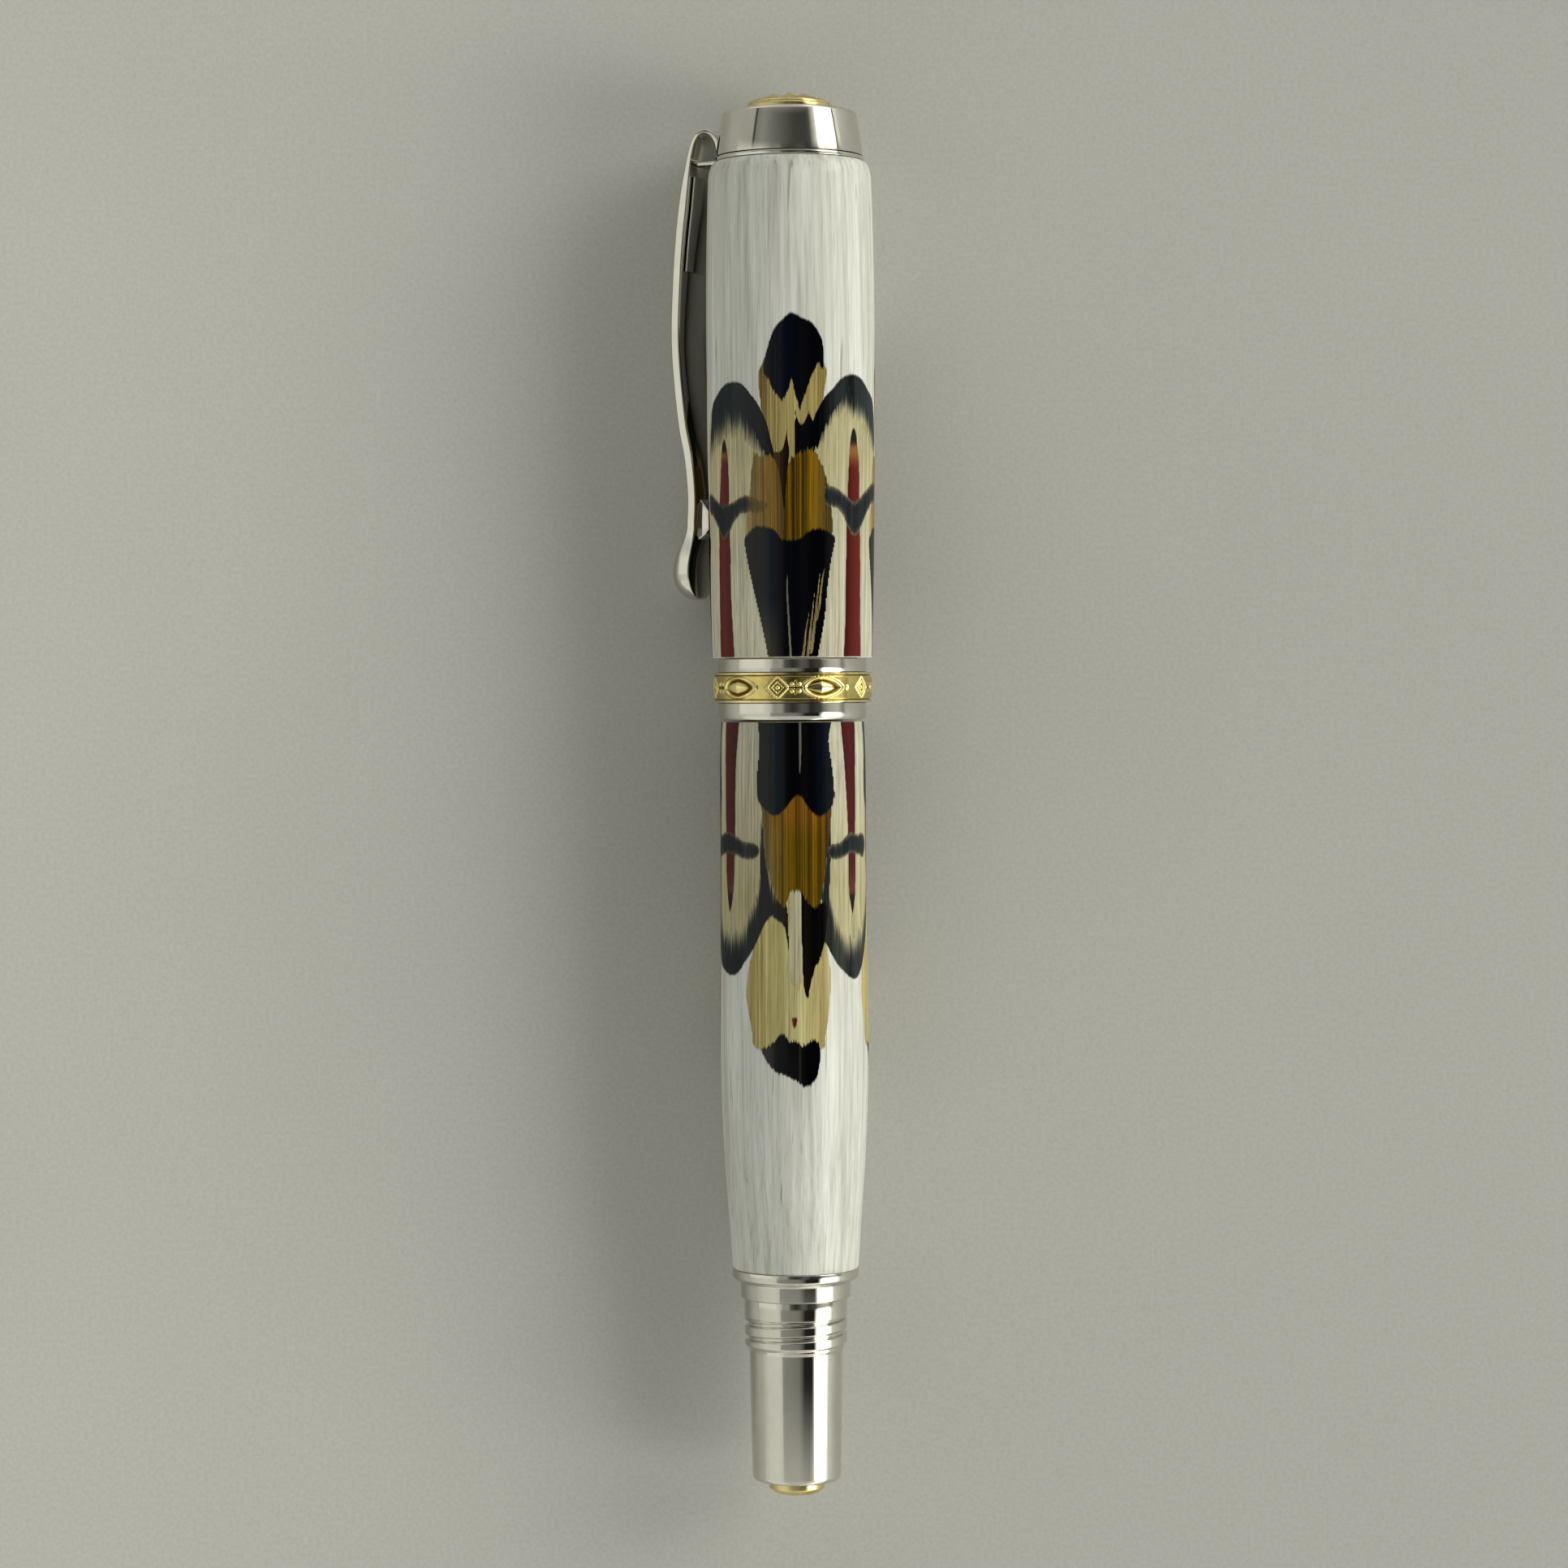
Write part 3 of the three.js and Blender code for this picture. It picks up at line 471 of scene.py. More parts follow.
def centre_band():
    upper = [(7.32, 11.86, 0.06), (7.32, 13.18, 0.06), (6.5, 13.18), (6.5, 11.86)]
    lathe("upper_band_ring", upper, CHROME, "cap", replaces=["band_upper_ring"])
    outline = [(7.62, 8.9, 0), *column(BAND_RADIUS, 8.95, 11.79, 0.055), (7.62, 11.84, 0),
        (6.5, 11.84, 0), (6.5, 8.9, 0)]
    lathe("gold_band", outline, RELIEF_GOLD, "cap", sides=720, soft=0, shape=gold_relief,
        replaces=["band_gold"], sharp=60)
    lower = [(7.32, 7.2, 0.5), (7.32, 8.88, 0.06), (6.5, 8.88), (6.5, 7.2, 0.15)]
    lathe("lower_band_ring", lower, CHROME, "cap", replaces=["band_lower_ring"])
    crests = thread(-5.95, 9.6, 13.4, 1.5, 0.2)

    def inside(angle, radius, y):
        return -crests(angle, -radius, y)[0], y

    core = [(6.45, 7.4), (6.45, 19), (5.95, 19), *column(5.95, 13.4, 9.6, 0.1), (5.95, 7.4)]
    lathe("cap_threads", core, BRASS, "cap", sides=MEDIUM, soft=0, shape=inside, replaces=["band_core"])


def rear_fittings():
    coupler = [(6.25, -46.75, 0.06), (5.4, -46.75), (5.4, -41, 0.2), (4.1, -41), (4.1, -49.55),
        (5.44, -49.55, 0.06), (5.44, -48.0, 0.15), (6.0, -47.8, 0.1), (6.25, -47.55, 0.1)]
    lathe("barrel_end_flange", coupler, CHROME, "barrel", replaces=["rear_coupler"])
    root, crest = 4.72, 5.05
    outline = [(4.0, -43, 0.2), (3.3, -43), (3.3, -52), (0, -52), (0, -67.1), (2.85, -67.1),
        (2.85, -67.6, 0.08), (4.38, -67.6, 0.55), (4.6, -54.85, 0.1), *column(root, -54.6, -51.55, 0.04),
        (5.08, -51.45, 0.06), (5.08, -49.62, 0.06), (4.0, -49.62)]
    lathe("tail_metal", outline, CHROME, "barrel", sides=144, replaces=["tail_body"],
        shape=thread(root, -54.6, -51.3, 1.4, crest - root), sharp=50)
    medal = [(2.75, -67.15, 0), (2.75, -68.35, 0.1), (2.2, -68.85, 0.12)]
    medal += [(float(r), -68.85, 0) for r in np.linspace(2.1, 0.1, 18)]
    medal += [(0, -68.85), (0, -67.15)]
    flower = rosette(-68.8, -1, 2.3, 8, 0.16)
    lathe("tail_medal", medal, GOLD, "barrel", sides=192, soft=0.04, shape=flower,
        replaces=["tail_medallion"])


def writing_section():
    root = 5.22
    collar = [(4.35, -3, 0), (4.5, -2.7, 0), (4.5, 7.75, 0), *column(root, 7.8, 13.05, 0.07),
        (5.1, 13.1, 0), (3.95, 13.1, 0), (3.95, -3, 0)]
    lathe("section_threads", collar, BRASS, "section_core", sides=MEDIUM, soft=0,
        shape=thread(root, 7.9, 13.0, 1.5, 0.38), replaces=["section_collar"])
    angles = [math.radians(t) for t in range(0, 360, 24)]
    ring = [(4.88 + 0.26 * math.cos(a), 7.38 + 0.25 * math.sin(a), 0) for a in angles]
    lathe("seal_ring", ring, RUBBER, "section_seal", sides=MEDIUM, soft=0, replaces=["section_o_ring"])
    ys = np.linspace(13.3, 32.4, 24)
    waist = np.interp(ys, [13.3, 18, 25, 29.5, 31.5, 32.4], [5.2, 5.0, 4.55, 4.35, 4.45, 4.58])
    waist = np.convolve(np.pad(waist, 2, mode="edge"), [0.1, 0.2, 0.4, 0.2, 0.1], "valid")
    grip = [(5.05, 13.25, 0), *[(float(r), float(y), 0) for r, y in zip(waist, ys)], (4.62, 32.8, 0.1),
        (4.5, 33.2, 0.1), (3.95, 33.2), (3.95, 13.25)]
    lathe("grip", grip, BLACK, "section", sides=MEDIUM, replaces=["section_grip"])
    trim = [(4.5, 33.3, 0.1), (4.6, 33.55, 0.2), (4.5, 34.15, 0.15), (3.95, 34.15), (3.95, 33.3)]
    lathe("grip_ring", trim, CHROME, "section", sides=MEDIUM, replaces=["section_trim_ring"])


# Clip: a strap swept along a line in the plane that the clip lies in

CLIP_ANGLE = -120  # the clip lies to the left, 30 degrees below level
CLIP_LINE = [(7.7, 62.66), (7.5, 63.6), (7.48, 64.6), (7.8, 65.3), (8.4, 65.55), (9.05, 65.25),
    (9.6, 64.4), (10.02, 63), (10.4, 61), (10.75, 58.7), (11.25, 54.8), (11.6, 50.9), (11.88, 44.5),
    (11.3, 37.3), (10.6, 33.4), (10.28, 30.3), (10.27, 28), (10.5, 25.2), (10.9, 22.4)]
TIP_Y = 21.85  # the middle of the clip's drop-shaped end


def spline(points, per_span, closed=False):
    """A Catmull-Rom curve through the points. A point given twice makes a corner."""
    p = np.array(points, float)
    p = np.vstack([p[-1], p, p[0], p[1]]) if closed else np.vstack([p[0], p, p[-1]])
    t = np.linspace(0, 1, per_span, endpoint=False)[:, None]
    out = []
    for a, b, c, d in zip(p, p[1:], p[2:], p[3:]):
        square = 2 * a - 5 * b + 4 * c - d
        cube = 3 * b - a - 3 * c + d
        out.append(0.5 * (2 * b + (c - a) * t + square * t**2 + cube * t**3))
    out = np.vstack(out)
    return out if closed else np.vstack([out, points[-1]])


def in_clip_plane(distance, y, across):
    """Points beside the pen: distance from its axis, y, and across the clip's width."""
    a = math.radians(CLIP_ANGLE)
    x = distance * math.sin(a) + across * math.cos(a)
    z = AXIS_Z + distance * math.cos(a) - across * math.sin(a)
    return np.stack([x, y, z], -1) * MM


def cross_section(half, outer, inner, corner):
    """Distances across and outwards round a strap whose outer corners are elliptical."""
    t = np.radians(np.linspace(0, 90, 7))
    wide, high = corner
    low = min(0.24, 0.4 * inner, 0.4 * half)
    across = [half - wide + wide * np.cos(t), wide - half - wide * np.cos(t[::-1]),
        low - half - low * np.cos(t), half - low + low * np.cos(t[::-1])]
    out = [outer - high + high * np.sin(t), outer - high + high * np.sin(t[::-1]),
        low - inner - low * np.sin(t), low - inner - low * np.sin(t[::-1])]
    return np.concatenate(across), np.concatenate(out)


def strap(name, stations, body, **more):
    """A loft through stations of (place, normal, half width, outer, inner, corner)."""
    rings = []
    for place, normal, half, outer, inner, corner in stations:
        across, out = cross_section(half, outer, inner, corner)
        rings.append(in_clip_plane(place[0] + normal[0] * out, place[1] + normal[1] * out, across))
    around = len(rings[0])
    count = len(rings)
    faces = [tuple(range(around)), tuple(range((count - 1) * around, count * around))[::-1]]
    for k in range(count - 1):
        for j in range(around):
            m = (j + 1) % around
            faces.append((k * around + j, k * around + m, (k + 1) * around + m, (k + 1) * around + j))
    return make(name, np.concatenate(rings), faces, CHROME, body, **more)


def block_on_clip(name, outline, half_width, soft, body):
    """A flat-sided block: an outline of distance and y, as wide as the clip needs."""
    outline = np.array(outline, float)
    n = len(outline)
    edges = (-half_width, half_width)
    sides = [in_clip_plane(outline[:, 0], outline[:, 1], np.full(n, w)) for w in edges]
    faces = [tuple(range(n)), tuple(range(n, 2 * n))[::-1]]
    faces += [(k, (k + 1) % n, n + (k + 1) % n, n + k) for k in range(n)]
    piece = make(name, np.concatenate(sides), faces, CHROME, body)
    shape = bmesh.new()
    shape.from_mesh(piece.data)
    bmesh.ops.bevel(shape, geom=shape.edges, offset=soft * MM, segments=3, profile=0.5, affect="EDGES")
    shape.to_mesh(piece.data)
    shape.free()
    piece.data.set_sharp_from_angle(angle=math.radians(35))


def clip():
    line = spline(CLIP_LINE, 10)
    steps = np.linalg.norm(np.diff(line, axis=0), axis=1)
    share = np.concatenate([[0], np.cumsum(steps)]) / steps.sum()
    d = np.gradient(line, axis=0)
    d /= np.linalg.norm(d, axis=1)[:, None]
    normal = np.stack([-d[:, 1], d[:, 0]], 1)
    thick = 0.4 + 0.66 * smooth(share, 0.07, 0.26)
    half = np.interp(line[:, 1], [28, 56], [2.15, 2.65]) - 1.45 * (1 - smooth(share, 0.01, 0.09))
    edge = (0.28, 0.28)
    arm = share < share[line[:, 1] > 26.6].max()
    stations = []
    for i in np.flatnonzero(arm):
        corner = (min(edge[0], 0.4 * thick[i]), min(edge[1], 0.4 * thick[i]))
        stations.append((line[i], normal[i], half[i], thick[i] / 2, thick[i] / 2, corner))
    root = line[arm][-1, 0]
    swell = [(y, 1) for y in np.linspace(26.4, 22.1, 16)]
    swell += [(TIP_Y - 2.75 * math.sin(a), math.cos(a)) for a in np.radians(np.linspace(0, 88, 18))]
    for y, s in swell:
        t = float(smooth(-y, -26.5, -21.9))
        outer = (1 - t) * (root + 0.53) + t * (11 + 2.1 * s)
        inner = (1 - t) * (root - 0.53) + t * max(10.35, 11 - 2 * s)
        width = (1 - t) * 2.15 + t * 2.5 * s
        rise = (outer - inner) / 2
        corner = (edge[0] + t * (0.8 * width - edge[0]), edge[1] + t * (1.5 * rise - edge[1]))
        corner = (min(corner[0], 0.9 * width), min(corner[1], 1.7 * rise))
        stations.append((((outer + inner) / 2, y), (1, 0), width, rise, rise, corner))
    strap("clip_strap", stations, "clip", replaces=["clip_arm"])

    leaf = np.flatnonzero((line[:, 1] > 51.7) & (line[:, 1] < 61.3) & (line[:, 0] > 9))
    stations = []
    for i in leaf:
        place = line[i] - (thick[i] / 2 + 0.25) * normal[i]
        stations.append((place, normal[i], 2.15, 0.15, 0.15, (0.3, 0.27)))
    strap("clip_leaf", stations, "clip", replaces=["clip_tongue"])

    pad = [(10.15, 25), (10, 29.4), (9.1, 28.5), (8.55, 27.8), (8.55, 26.3), (9.1, 25.6)]
    block_on_clip("clip_pad", pad, 1.3, 0.12, "clip")
    tab = [(7, 62.1), (9.3, 62.1), (9.3, 62.52), (7, 62.52)]
    block_on_clip("clip_washer_tab", tab, 2.35, 0.17, "cap")


# Feathers: barbs laid side by side on the sleeve's skin


def blend(value, stops):
    """Colour at a value, between stops of (value, sRGB colour)."""
    at = [s[0] for s in stops]
    colors = np.array([s[1] for s in stops], float)
    return np.stack([np.interp(value, at, colors[:, k]) for k in range(3)], -1)


class Plumage:
    """Barbs of one piece. Each add() lays a patch of them inside an outline of angles and y.

    paint(angles, y, marks) gives the colours. The marks are random, one per barb. jag is how
    uneven the barbs' low and high ends are, and fade how far they fade there into the ground
    colour, in millimetres. streak is how much the barbs differ in brightness.
    """

    def __init__(self, radius_at, low, high):
        self.radius_at, self.low, self.high = radius_at, low, high
        self.points, self.faces, self.tints = [], [], []
        self.count = self.turn = self.seed = 0

    def add(self, outline, paint, layer, seed, pitch=0.11, jag=(0.25, 0.25), fade=(0, 0),
            ground=(188, 182, 146), streak=0.1):
        rng = np.random.default_rng(self.seed + seed)
        shape = spline(outline, 6, closed=True)
        ends = np.roll(shape, -1, 0)
        radius = float(self.radius_at(shape[:, 1].mean()))
        step = math.degrees(pitch / radius)
        low, high = shape[:, 0].min(), shape[:, 0].max()
        count = max(2, int((high - low) / step))
        slow = rng.normal(size=count + 8)
        slow = np.convolve(slow, np.ones(5) / 5 ** 0.5, "same")[4:4 + count]
        for i in range(count):
            a = low + (high - low) * (i + 0.5) / count
            crossing = (shape[:, 0] > a) != (ends[:, 0] > a)
            p, q = shape[crossing], ends[crossing]
            ys = np.sort(p[:, 1] + (a - p[:, 0]) / (q[:, 0] - p[:, 0]) * (q[:, 1] - p[:, 1]))
            mark = 0.5 * slow[i] + 0.65 * rng.normal()
            for y0, y1 in zip(ys[::2], ys[1::2]):
                y0 -= jag[0] * (rng.random() - 0.35)
                y1 += jag[1] * (rng.random() - 0.35)
                y0, y1 = max(y0, self.low), min(y1, self.high)
                if y1 - y0 > 0.08:
                    self.barb(a, y0, y1, layer, pitch * 1.5, jag, fade, ground, paint, mark, streak, rng)

    def barb(self, a, y0, y1, layer, width, jag, fade, ground, paint, mark, streak, rng):
        count = max(2, int(math.ceil((y1 - y0) / BARB_STEP)))
        y = np.linspace(y0, y1, count + 1)
        if y1 - y0 > 1.2:  # short first and last stretches make pointed barb ends
            y = np.concatenate([[y0, y0 + 0.15], y[1:-1], [y1 - 0.15, y1]])
        before = np.maximum(y - y0, 0 if jag[0] else 1)
        beyond = np.maximum(y1 - y, 0 if jag[1] else 1)
        share = np.clip(0.12 + np.minimum(before, beyond) / BARB_POINT, 0, 1)
        radius = self.radius_at(y)
        half = np.degrees(width * 0.5 * share / radius)
        angle = a + self.turn
        height = radius - INSET + LAYER * (layer + 1)
        left = on_pen(angle - half, y, height)
        right = on_pen(angle + half, y, height + 0.0015)
        color = paint(np.full_like(y, a), y, np.full_like(y, mark))
        for amount, gone in zip(fade, (y - y0, y1 - y)):
            if amount:
                reach = amount * (0.6 + 0.8 * rng.random())
                t = smooth(gone, 0, reach)[:, None]
                color = color * t + np.array(ground) * (1 - t)
        color = linear(np.clip(color, 0, 255)) * (1 + streak * np.clip(mark, -1.6, 1.6))
        base = self.count
        n = len(y)
        self.points.append(np.stack([left, right], 1).reshape(-1, 3))
        self.tints.append(np.repeat(color, 2, 0))
        for k in range(n - 1):
            s = base + 2 * k
            self.faces.append((s, s + 1, s + 3, s + 2))
        self.count += 2 * n

    def finish(self, name, material, body):
        tint = np.clip(np.concatenate(self.tints), 0, 1)
        make(name, np.concatenate(self.points), self.faces, material, body, sharp=180, tint=tint)


BLACK_BARB = (3, 3, 7)
NAVY = (7, 11, 25)
BLUE = (9, 21, 34)
SLATE = (25, 35, 41)
CHARCOAL = (31, 34, 34)
CREAM = (190, 182, 144)
PALE = (204, 200, 180)
TAN = (166, 148, 92)
BROWN = (126, 102, 50)
RED = (102, 32, 31)
DARK_RED = (72, 13, 11)
QUILL_TIP = (26, 17, 15)


def mixed(color, other, share):
    share = np.asarray(share, float)[:, None]
    return color * (1 - share) + np.array(other, float) * share


def shades(*stops, angle=0, mark=0):
    """A paint that goes by the barbs' angle, their random marks, or both together."""
    return lambda a, y, n: blend(angle * a + mark * n, stops)


def tan_paint(a, y, n):
    color = blend(a + 2 * n, [(-30, BROWN), (-20, BROWN), (-13, TAN), (-3, (184, 168, 114)),
        (6, (178, 162, 106)), (22, (160, 142, 84))])
    return color + 9 * n[:, None]


def mustard_paint(stops, dusk):
    """Streaks by mark, tinted by angle, and smoky beyond the dusk angles."""

    def paint(a, y, n):
        color = blend(a + 3 * n, stops) * (1 + 0.2 * np.clip(n, -1.6, 1.4))[:, None]
        smoke = smooth(a + n, *dusk) if dusk[1] > dusk[0] else smooth(-a - n, -dusk[0], -dusk[1])
        return mixed(color, (56, 42, 20), 0.55 * smoke)

    return paint


def cap_plumes(stack, shafts):
    """One central stack of feathers on the cap."""
    stack.add([(-20, 41.6), (-22, 40.4), (-21, 38.4), (-19, 36.1), (-15, 34.1), (-11, 32.4), (-5, 31.6),
        (3, 31.8), (9, 34), (17, 35.2), (21, 37.6), (24, 40), (24, 41.4), (15, 43), (-12, 43)], tan_paint,
        2, 1, jag=(0.3, 0.2))
    stack.add([(0, 46.7), (0, 46.7), (-6, 45.9), (-11, 45.1), (-15, 43.5), (-18, 41.8), (-18, 40.6),
        (-15, 40.1), (-10, 38.7), (-5, 38.2), (1, 40.3), (1, 40.3), (3, 38.7), (6, 37.2), (6, 37.2),
        (11, 39.2), (15, 40.8), (19, 41.7), (22, 41.2), (22, 43.5), (19, 44.8), (14, 45.7), (7, 46.2)],
        shades((-19, (14, 18, 24)), (-14, NAVY), (0, (7, 12, 28)), (9, BLACK_BARB), (22, BLACK_BARB),
        angle=1, mark=2), 4, 2, jag=(0.35, 0.12), streak=0.25)
    stack.add([(-3, 35.1), (-3, 35.1), (-6, 33.4), (-12, 32.9), (-8, 31), (-5, 27.2), (-5, 27.2),
        (-3, 31), (-1.5, 33)], shades((-9, (70, 50, 26)), (-6, (34, 21, 12)), (0, (16, 9, 7)), angle=1,
        mark=1), 6, 3, pitch=0.08, jag=(0.15, 0.2), streak=0.2)
    stack.add([(-13, 32.7), (-26, 32.9), (-26, 32.9), (-28, 31.1), (-30, 28.2), (-32, 25), (-5, 24),
        (-4.5, 24), (-5.4, 31), (-9, 31.8)], mustard_paint([(-31, (160, 142, 92)), (-24, (140, 114, 58)),
        (-8, (110, 84, 34))], (-9, -3)), 5, 4, jag=(0, 0.55), streak=0.08)
    stack.add([(-1, 32.4), (9, 33.2), (12, 33.5), (15, 33.4), (15, 33.4), (21, 31.9), (26, 29.7),
        (28, 27.3), (27.5, 25), (10, 24), (-5, 24), (-5, 27), (-3, 31)],
        mustard_paint([(-4, (70, 50, 14)), (3, (84, 62, 12)), (9, (106, 78, 8)), (15, (113, 84, 13)),
        (24, (98, 78, 30))], (16, 28)), 5, 5, jag=(0, 0.6))

    def tail(a, y, n):
        color = blend(a + 0.8 * n, [(-21, CHARCOAL), (-18, (24, 30, 34)), (-16, BLUE), (-11, (8, 17, 30)),
            (-8, BLACK_BARB), (4, (5, 7, 16)), (12, BLACK_BARB)])
        return mixed(color, (74, 68, 52), 0.75 * smooth(-a, 5, 16) * smooth(-y, -20, -14))

    stack.add([(-34, 24.8), (-30, 25.5), (-25, 26), (-15, 25.9), (-9, 25.2), (-6, 24.7), (5, 24.8),
        (8, 25.1), (14, 25.7), (23, 25.7), (28, 25.3), (31, 24.8), (28, 22.8), (25, 20), (23, 17.1),
        (18, 13.4), (16, 11.5), (-15, 11.5), (-17, 13.4), (-22, 16.8), (-27, 19.7), (-32, 22.8)], tail, 7,
        6, jag=(0, 0.2), streak=0.25)
    stripes = [(8.5, 12, 17.5), (12.5, 12, 19.5), (16.5, 14, 21.5), (20, 17, 22)]
    for k, (start, low, high) in enumerate(stripes):
        middle = (low + high) / 2
        stripe = [(start - 4, low), (start - 2, low), (start + 0.4, middle - 0.8),
            (start + 1.2, middle + 0.6), (start + 3.2, high), (start + 0.4, middle + 1),
            (start - 1, middle - 0.6)]
        stack.add(stripe, shades((-1, (104, 86, 56)), (1, (170, 158, 122)), mark=1), 8, 20 + k,
            pitch=0.05, jag=(0, 0.3))
    shafts.add([(-3.2, 21.7), (-3.2, 21.7), (-2.6, 19), (0, 12), (-1, 12), (-3.6, 19)],
        shades((-4, (108, 106, 98)), (0, (142, 140, 130)), angle=1), 9, 7, pitch=0.05, jag=(0, 0.1))


RIGHT_ARCH = [(3, 32.4), (3, 36.8), (3, 36.8), (6, 35.9), (9, 36.1), (12, 37), (12, 37), (15, 36.2),
    (17, 37), (23, 38.4), (28, 39.1), (36, 40.3), (46, 40.8), (56, 40.4), (65, 39.4), (76, 38.1),
    (82, 34.6), (80, 32.8), (70, 34.3), (58, 35.8), (38, 36.9), (26, 35.2), (22, 34.2), (17, 33.2),
    (9, 32.8)]
LEFT_ARCH = [(-73, 32.8), (-70, 36.4), (-67, 38), (-60, 39), (-52, 39.8), (-45, 40.1), (-38, 40),
    (-33, 39.6), (-26, 38.4), (-22, 37.6), (-17, 36.1), (-14, 34.4), (-11, 32.6), (-11, 32.6),
    (-19.5, 32.2), (-25, 33.2), (-32, 34.3), (-39, 35), (-47, 34.9), (-62, 34)]


def vane_paint(dusky, pale, light=1):
    """Cream near the dusky height, paler towards the pale one, with soft streaks."""

    def paint(a, y, n):
        color = blend((y - dusky) / (pale - dusky), [(0, CREAM), (1, PALE)])
        return color * (light + 0.05 * np.clip(n, -1.6, 1.6))[:, None]

    return paint


def quill_paint(middle, colors, tip, turning, warm, up):
    """A quill's red, turning to a warm brown and then dark towards its tip."""

    def paint(a, y, n):
        color = blend(a - middle, [(-7, colors[0]), (-1, colors[1]), (7, colors[2])])
        color = mixed(color, warm, smooth(up * y, up * turning[0], up * turning[1]))
        return mixed(color, QUILL_TIP, smooth(up * y, up * tip - 0.35, up * tip + 0.05))

    return paint


BAR = shades((-1, (21, 24, 29)), (1, (37, 41, 46)), mark=1)


def cap_side(stack, shafts, left):
    """One side feather on the cap: a pale vane, a dark arch, a red quill and a cross bar."""
    if left:
        vane = [(-76, 11.5), (-78, 30), (-72, 37), (-52, 38.5), (-30, 36.5), (-18, 33), (-17, 31),
            (-17, 25), (-17, 20), (-13, 11.5)]
        dark = [(-80, SLATE), (-60, (27, 38, 43)), (-36, SLATE), (-28, (16, 24, 29)), (-14, (12, 14, 18))]
        arch, fade = LEFT_ARCH, (2.3, 0)
        inner = [(-40, 39.9), (-33, 39.5), (-26, 38.4), (-22, 37.6), (-17, 36.1), (-14, 34.4),
            (-10.5, 32.2), (-16, 32.7), (-21, 33.9), (-27, 35.6), (-34, 37), (-44, 38.4)]
        shaft = [(-52, 34.6), (-54, 34.2), (-55.4, 33), (-56.5, 31), (-59, 27.4), (-60, 24), (-61, 18.9),
            (-60.5, 11.5), (-46.5, 11.5), (-47.5, 18.9), (-47.5, 24), (-48, 27.4), (-48, 31), (-49, 33.2),
            (-50.4, 34.2)]
        quill = quill_paint(-54, (RED, (108, 36, 34), (90, 28, 27)), 33.4, (32, 33.2), (138, 96, 50), 1)
        bar = [(-31, 28.9), (-36, 28.9), (-42, 28.5), (-47, 28.3), (-51, 28.2), (-55, 28.2), (-60, 28.5),
            (-66, 28.9), (-76, 29.4), (-76, 27.6), (-68, 27), (-60, 25.8), (-56, 25), (-53, 24.8),
            (-49, 25.3), (-43, 26.5), (-37, 27.2), (-31, 27.4)]
        ghost = [(-31, 28.8), (-20, 28.4), (-16, 28), (-20, 27.4), (-31, 27.5)]
    else:
        vane = [(14, 11.5), (17, 20), (17, 25), (12, 30), (8, 32), (12, 34.5), (26, 37), (46, 39),
            (68, 37.5), (80, 34), (82, 25), (80, 11.5)]
        dark = [(3, BLACK_BARB), (16, BLACK_BARB), (27, (17, 20, 23)), (34, (30, 38, 42)),
            (43, (26, 32, 35)), (45, (6, 7, 9)), (47, (6, 7, 9)), (49, (30, 38, 42)), (82, (44, 52, 55))]
        arch, fade = RIGHT_ARCH, (1.9, 0)
        inner = [(3, 32.2), *RIGHT_ARCH[1:10], (30, 39.3), (46, 40.6), (38, 38.8), (28, 36.6), (22, 35),
            (17, 33.6), (9, 32.6)]
        shaft = [(47.5, 35.6), (45.5, 35.2), (44, 34), (43, 32.2), (42, 29.1), (41, 24), (40.5, 17.1),
            (41, 11.5), (57, 11.5), (56, 17.1), (55, 24), (53.5, 29.1), (53, 32.2), (51, 34),
            (49.5, 35.2)]
        quill = quill_paint(48, (DARK_RED, (92, 20, 14), (102, 36, 27)), 34.1, (31.4, 33.4),
            (138, 96, 50), 1)
        bar = [(24, 29.8), (33, 29.6), (40, 29), (45, 28.5), (49, 28.4), (56, 29), (64, 29.7), (72, 30.2),
            (80, 30.4), (80, 28.6), (72, 28.3), (64, 27.4), (57, 26.2), (52, 25.3), (47, 25.1),
            (43, 25.7), (38, 27), (32, 27.8), (24, 28)]
        ghost = None
    stack.add(vane, vane_paint(33, 20, 1.12 if left else 1), 0, 0, jag=(0, 0.4), streak=0.03)
    stack.add(arch, shades(*dark, angle=1, mark=2), 3, 1, jag=(0.9 if left else 0.7, 0.12), fade=fade,
        ground=CREAM, streak=0.2)
    stack.add(inner, shades(*dark, angle=1, mark=2), 4, 5, jag=(0.7, 0.1), streak=0.2)
    shafts.add(shaft, quill, 8, 2, pitch=0.07, jag=(0, 0.02), streak=0.05)
    stack.add(bar, BAR, 10, 3, pitch=0.08, jag=(0.2, 0.2), fade=(0.5, 0.45), ground=(120, 114, 96))
    if ghost:
        stack.add(ghost, shades((-30, (84, 72, 44)), (-18, (112, 88, 44)), angle=1), 10, 4, pitch=0.1,
            jag=(0.3, 0.3), fade=(0.5, 0.5), ground=(128, 102, 50), streak=0.05)


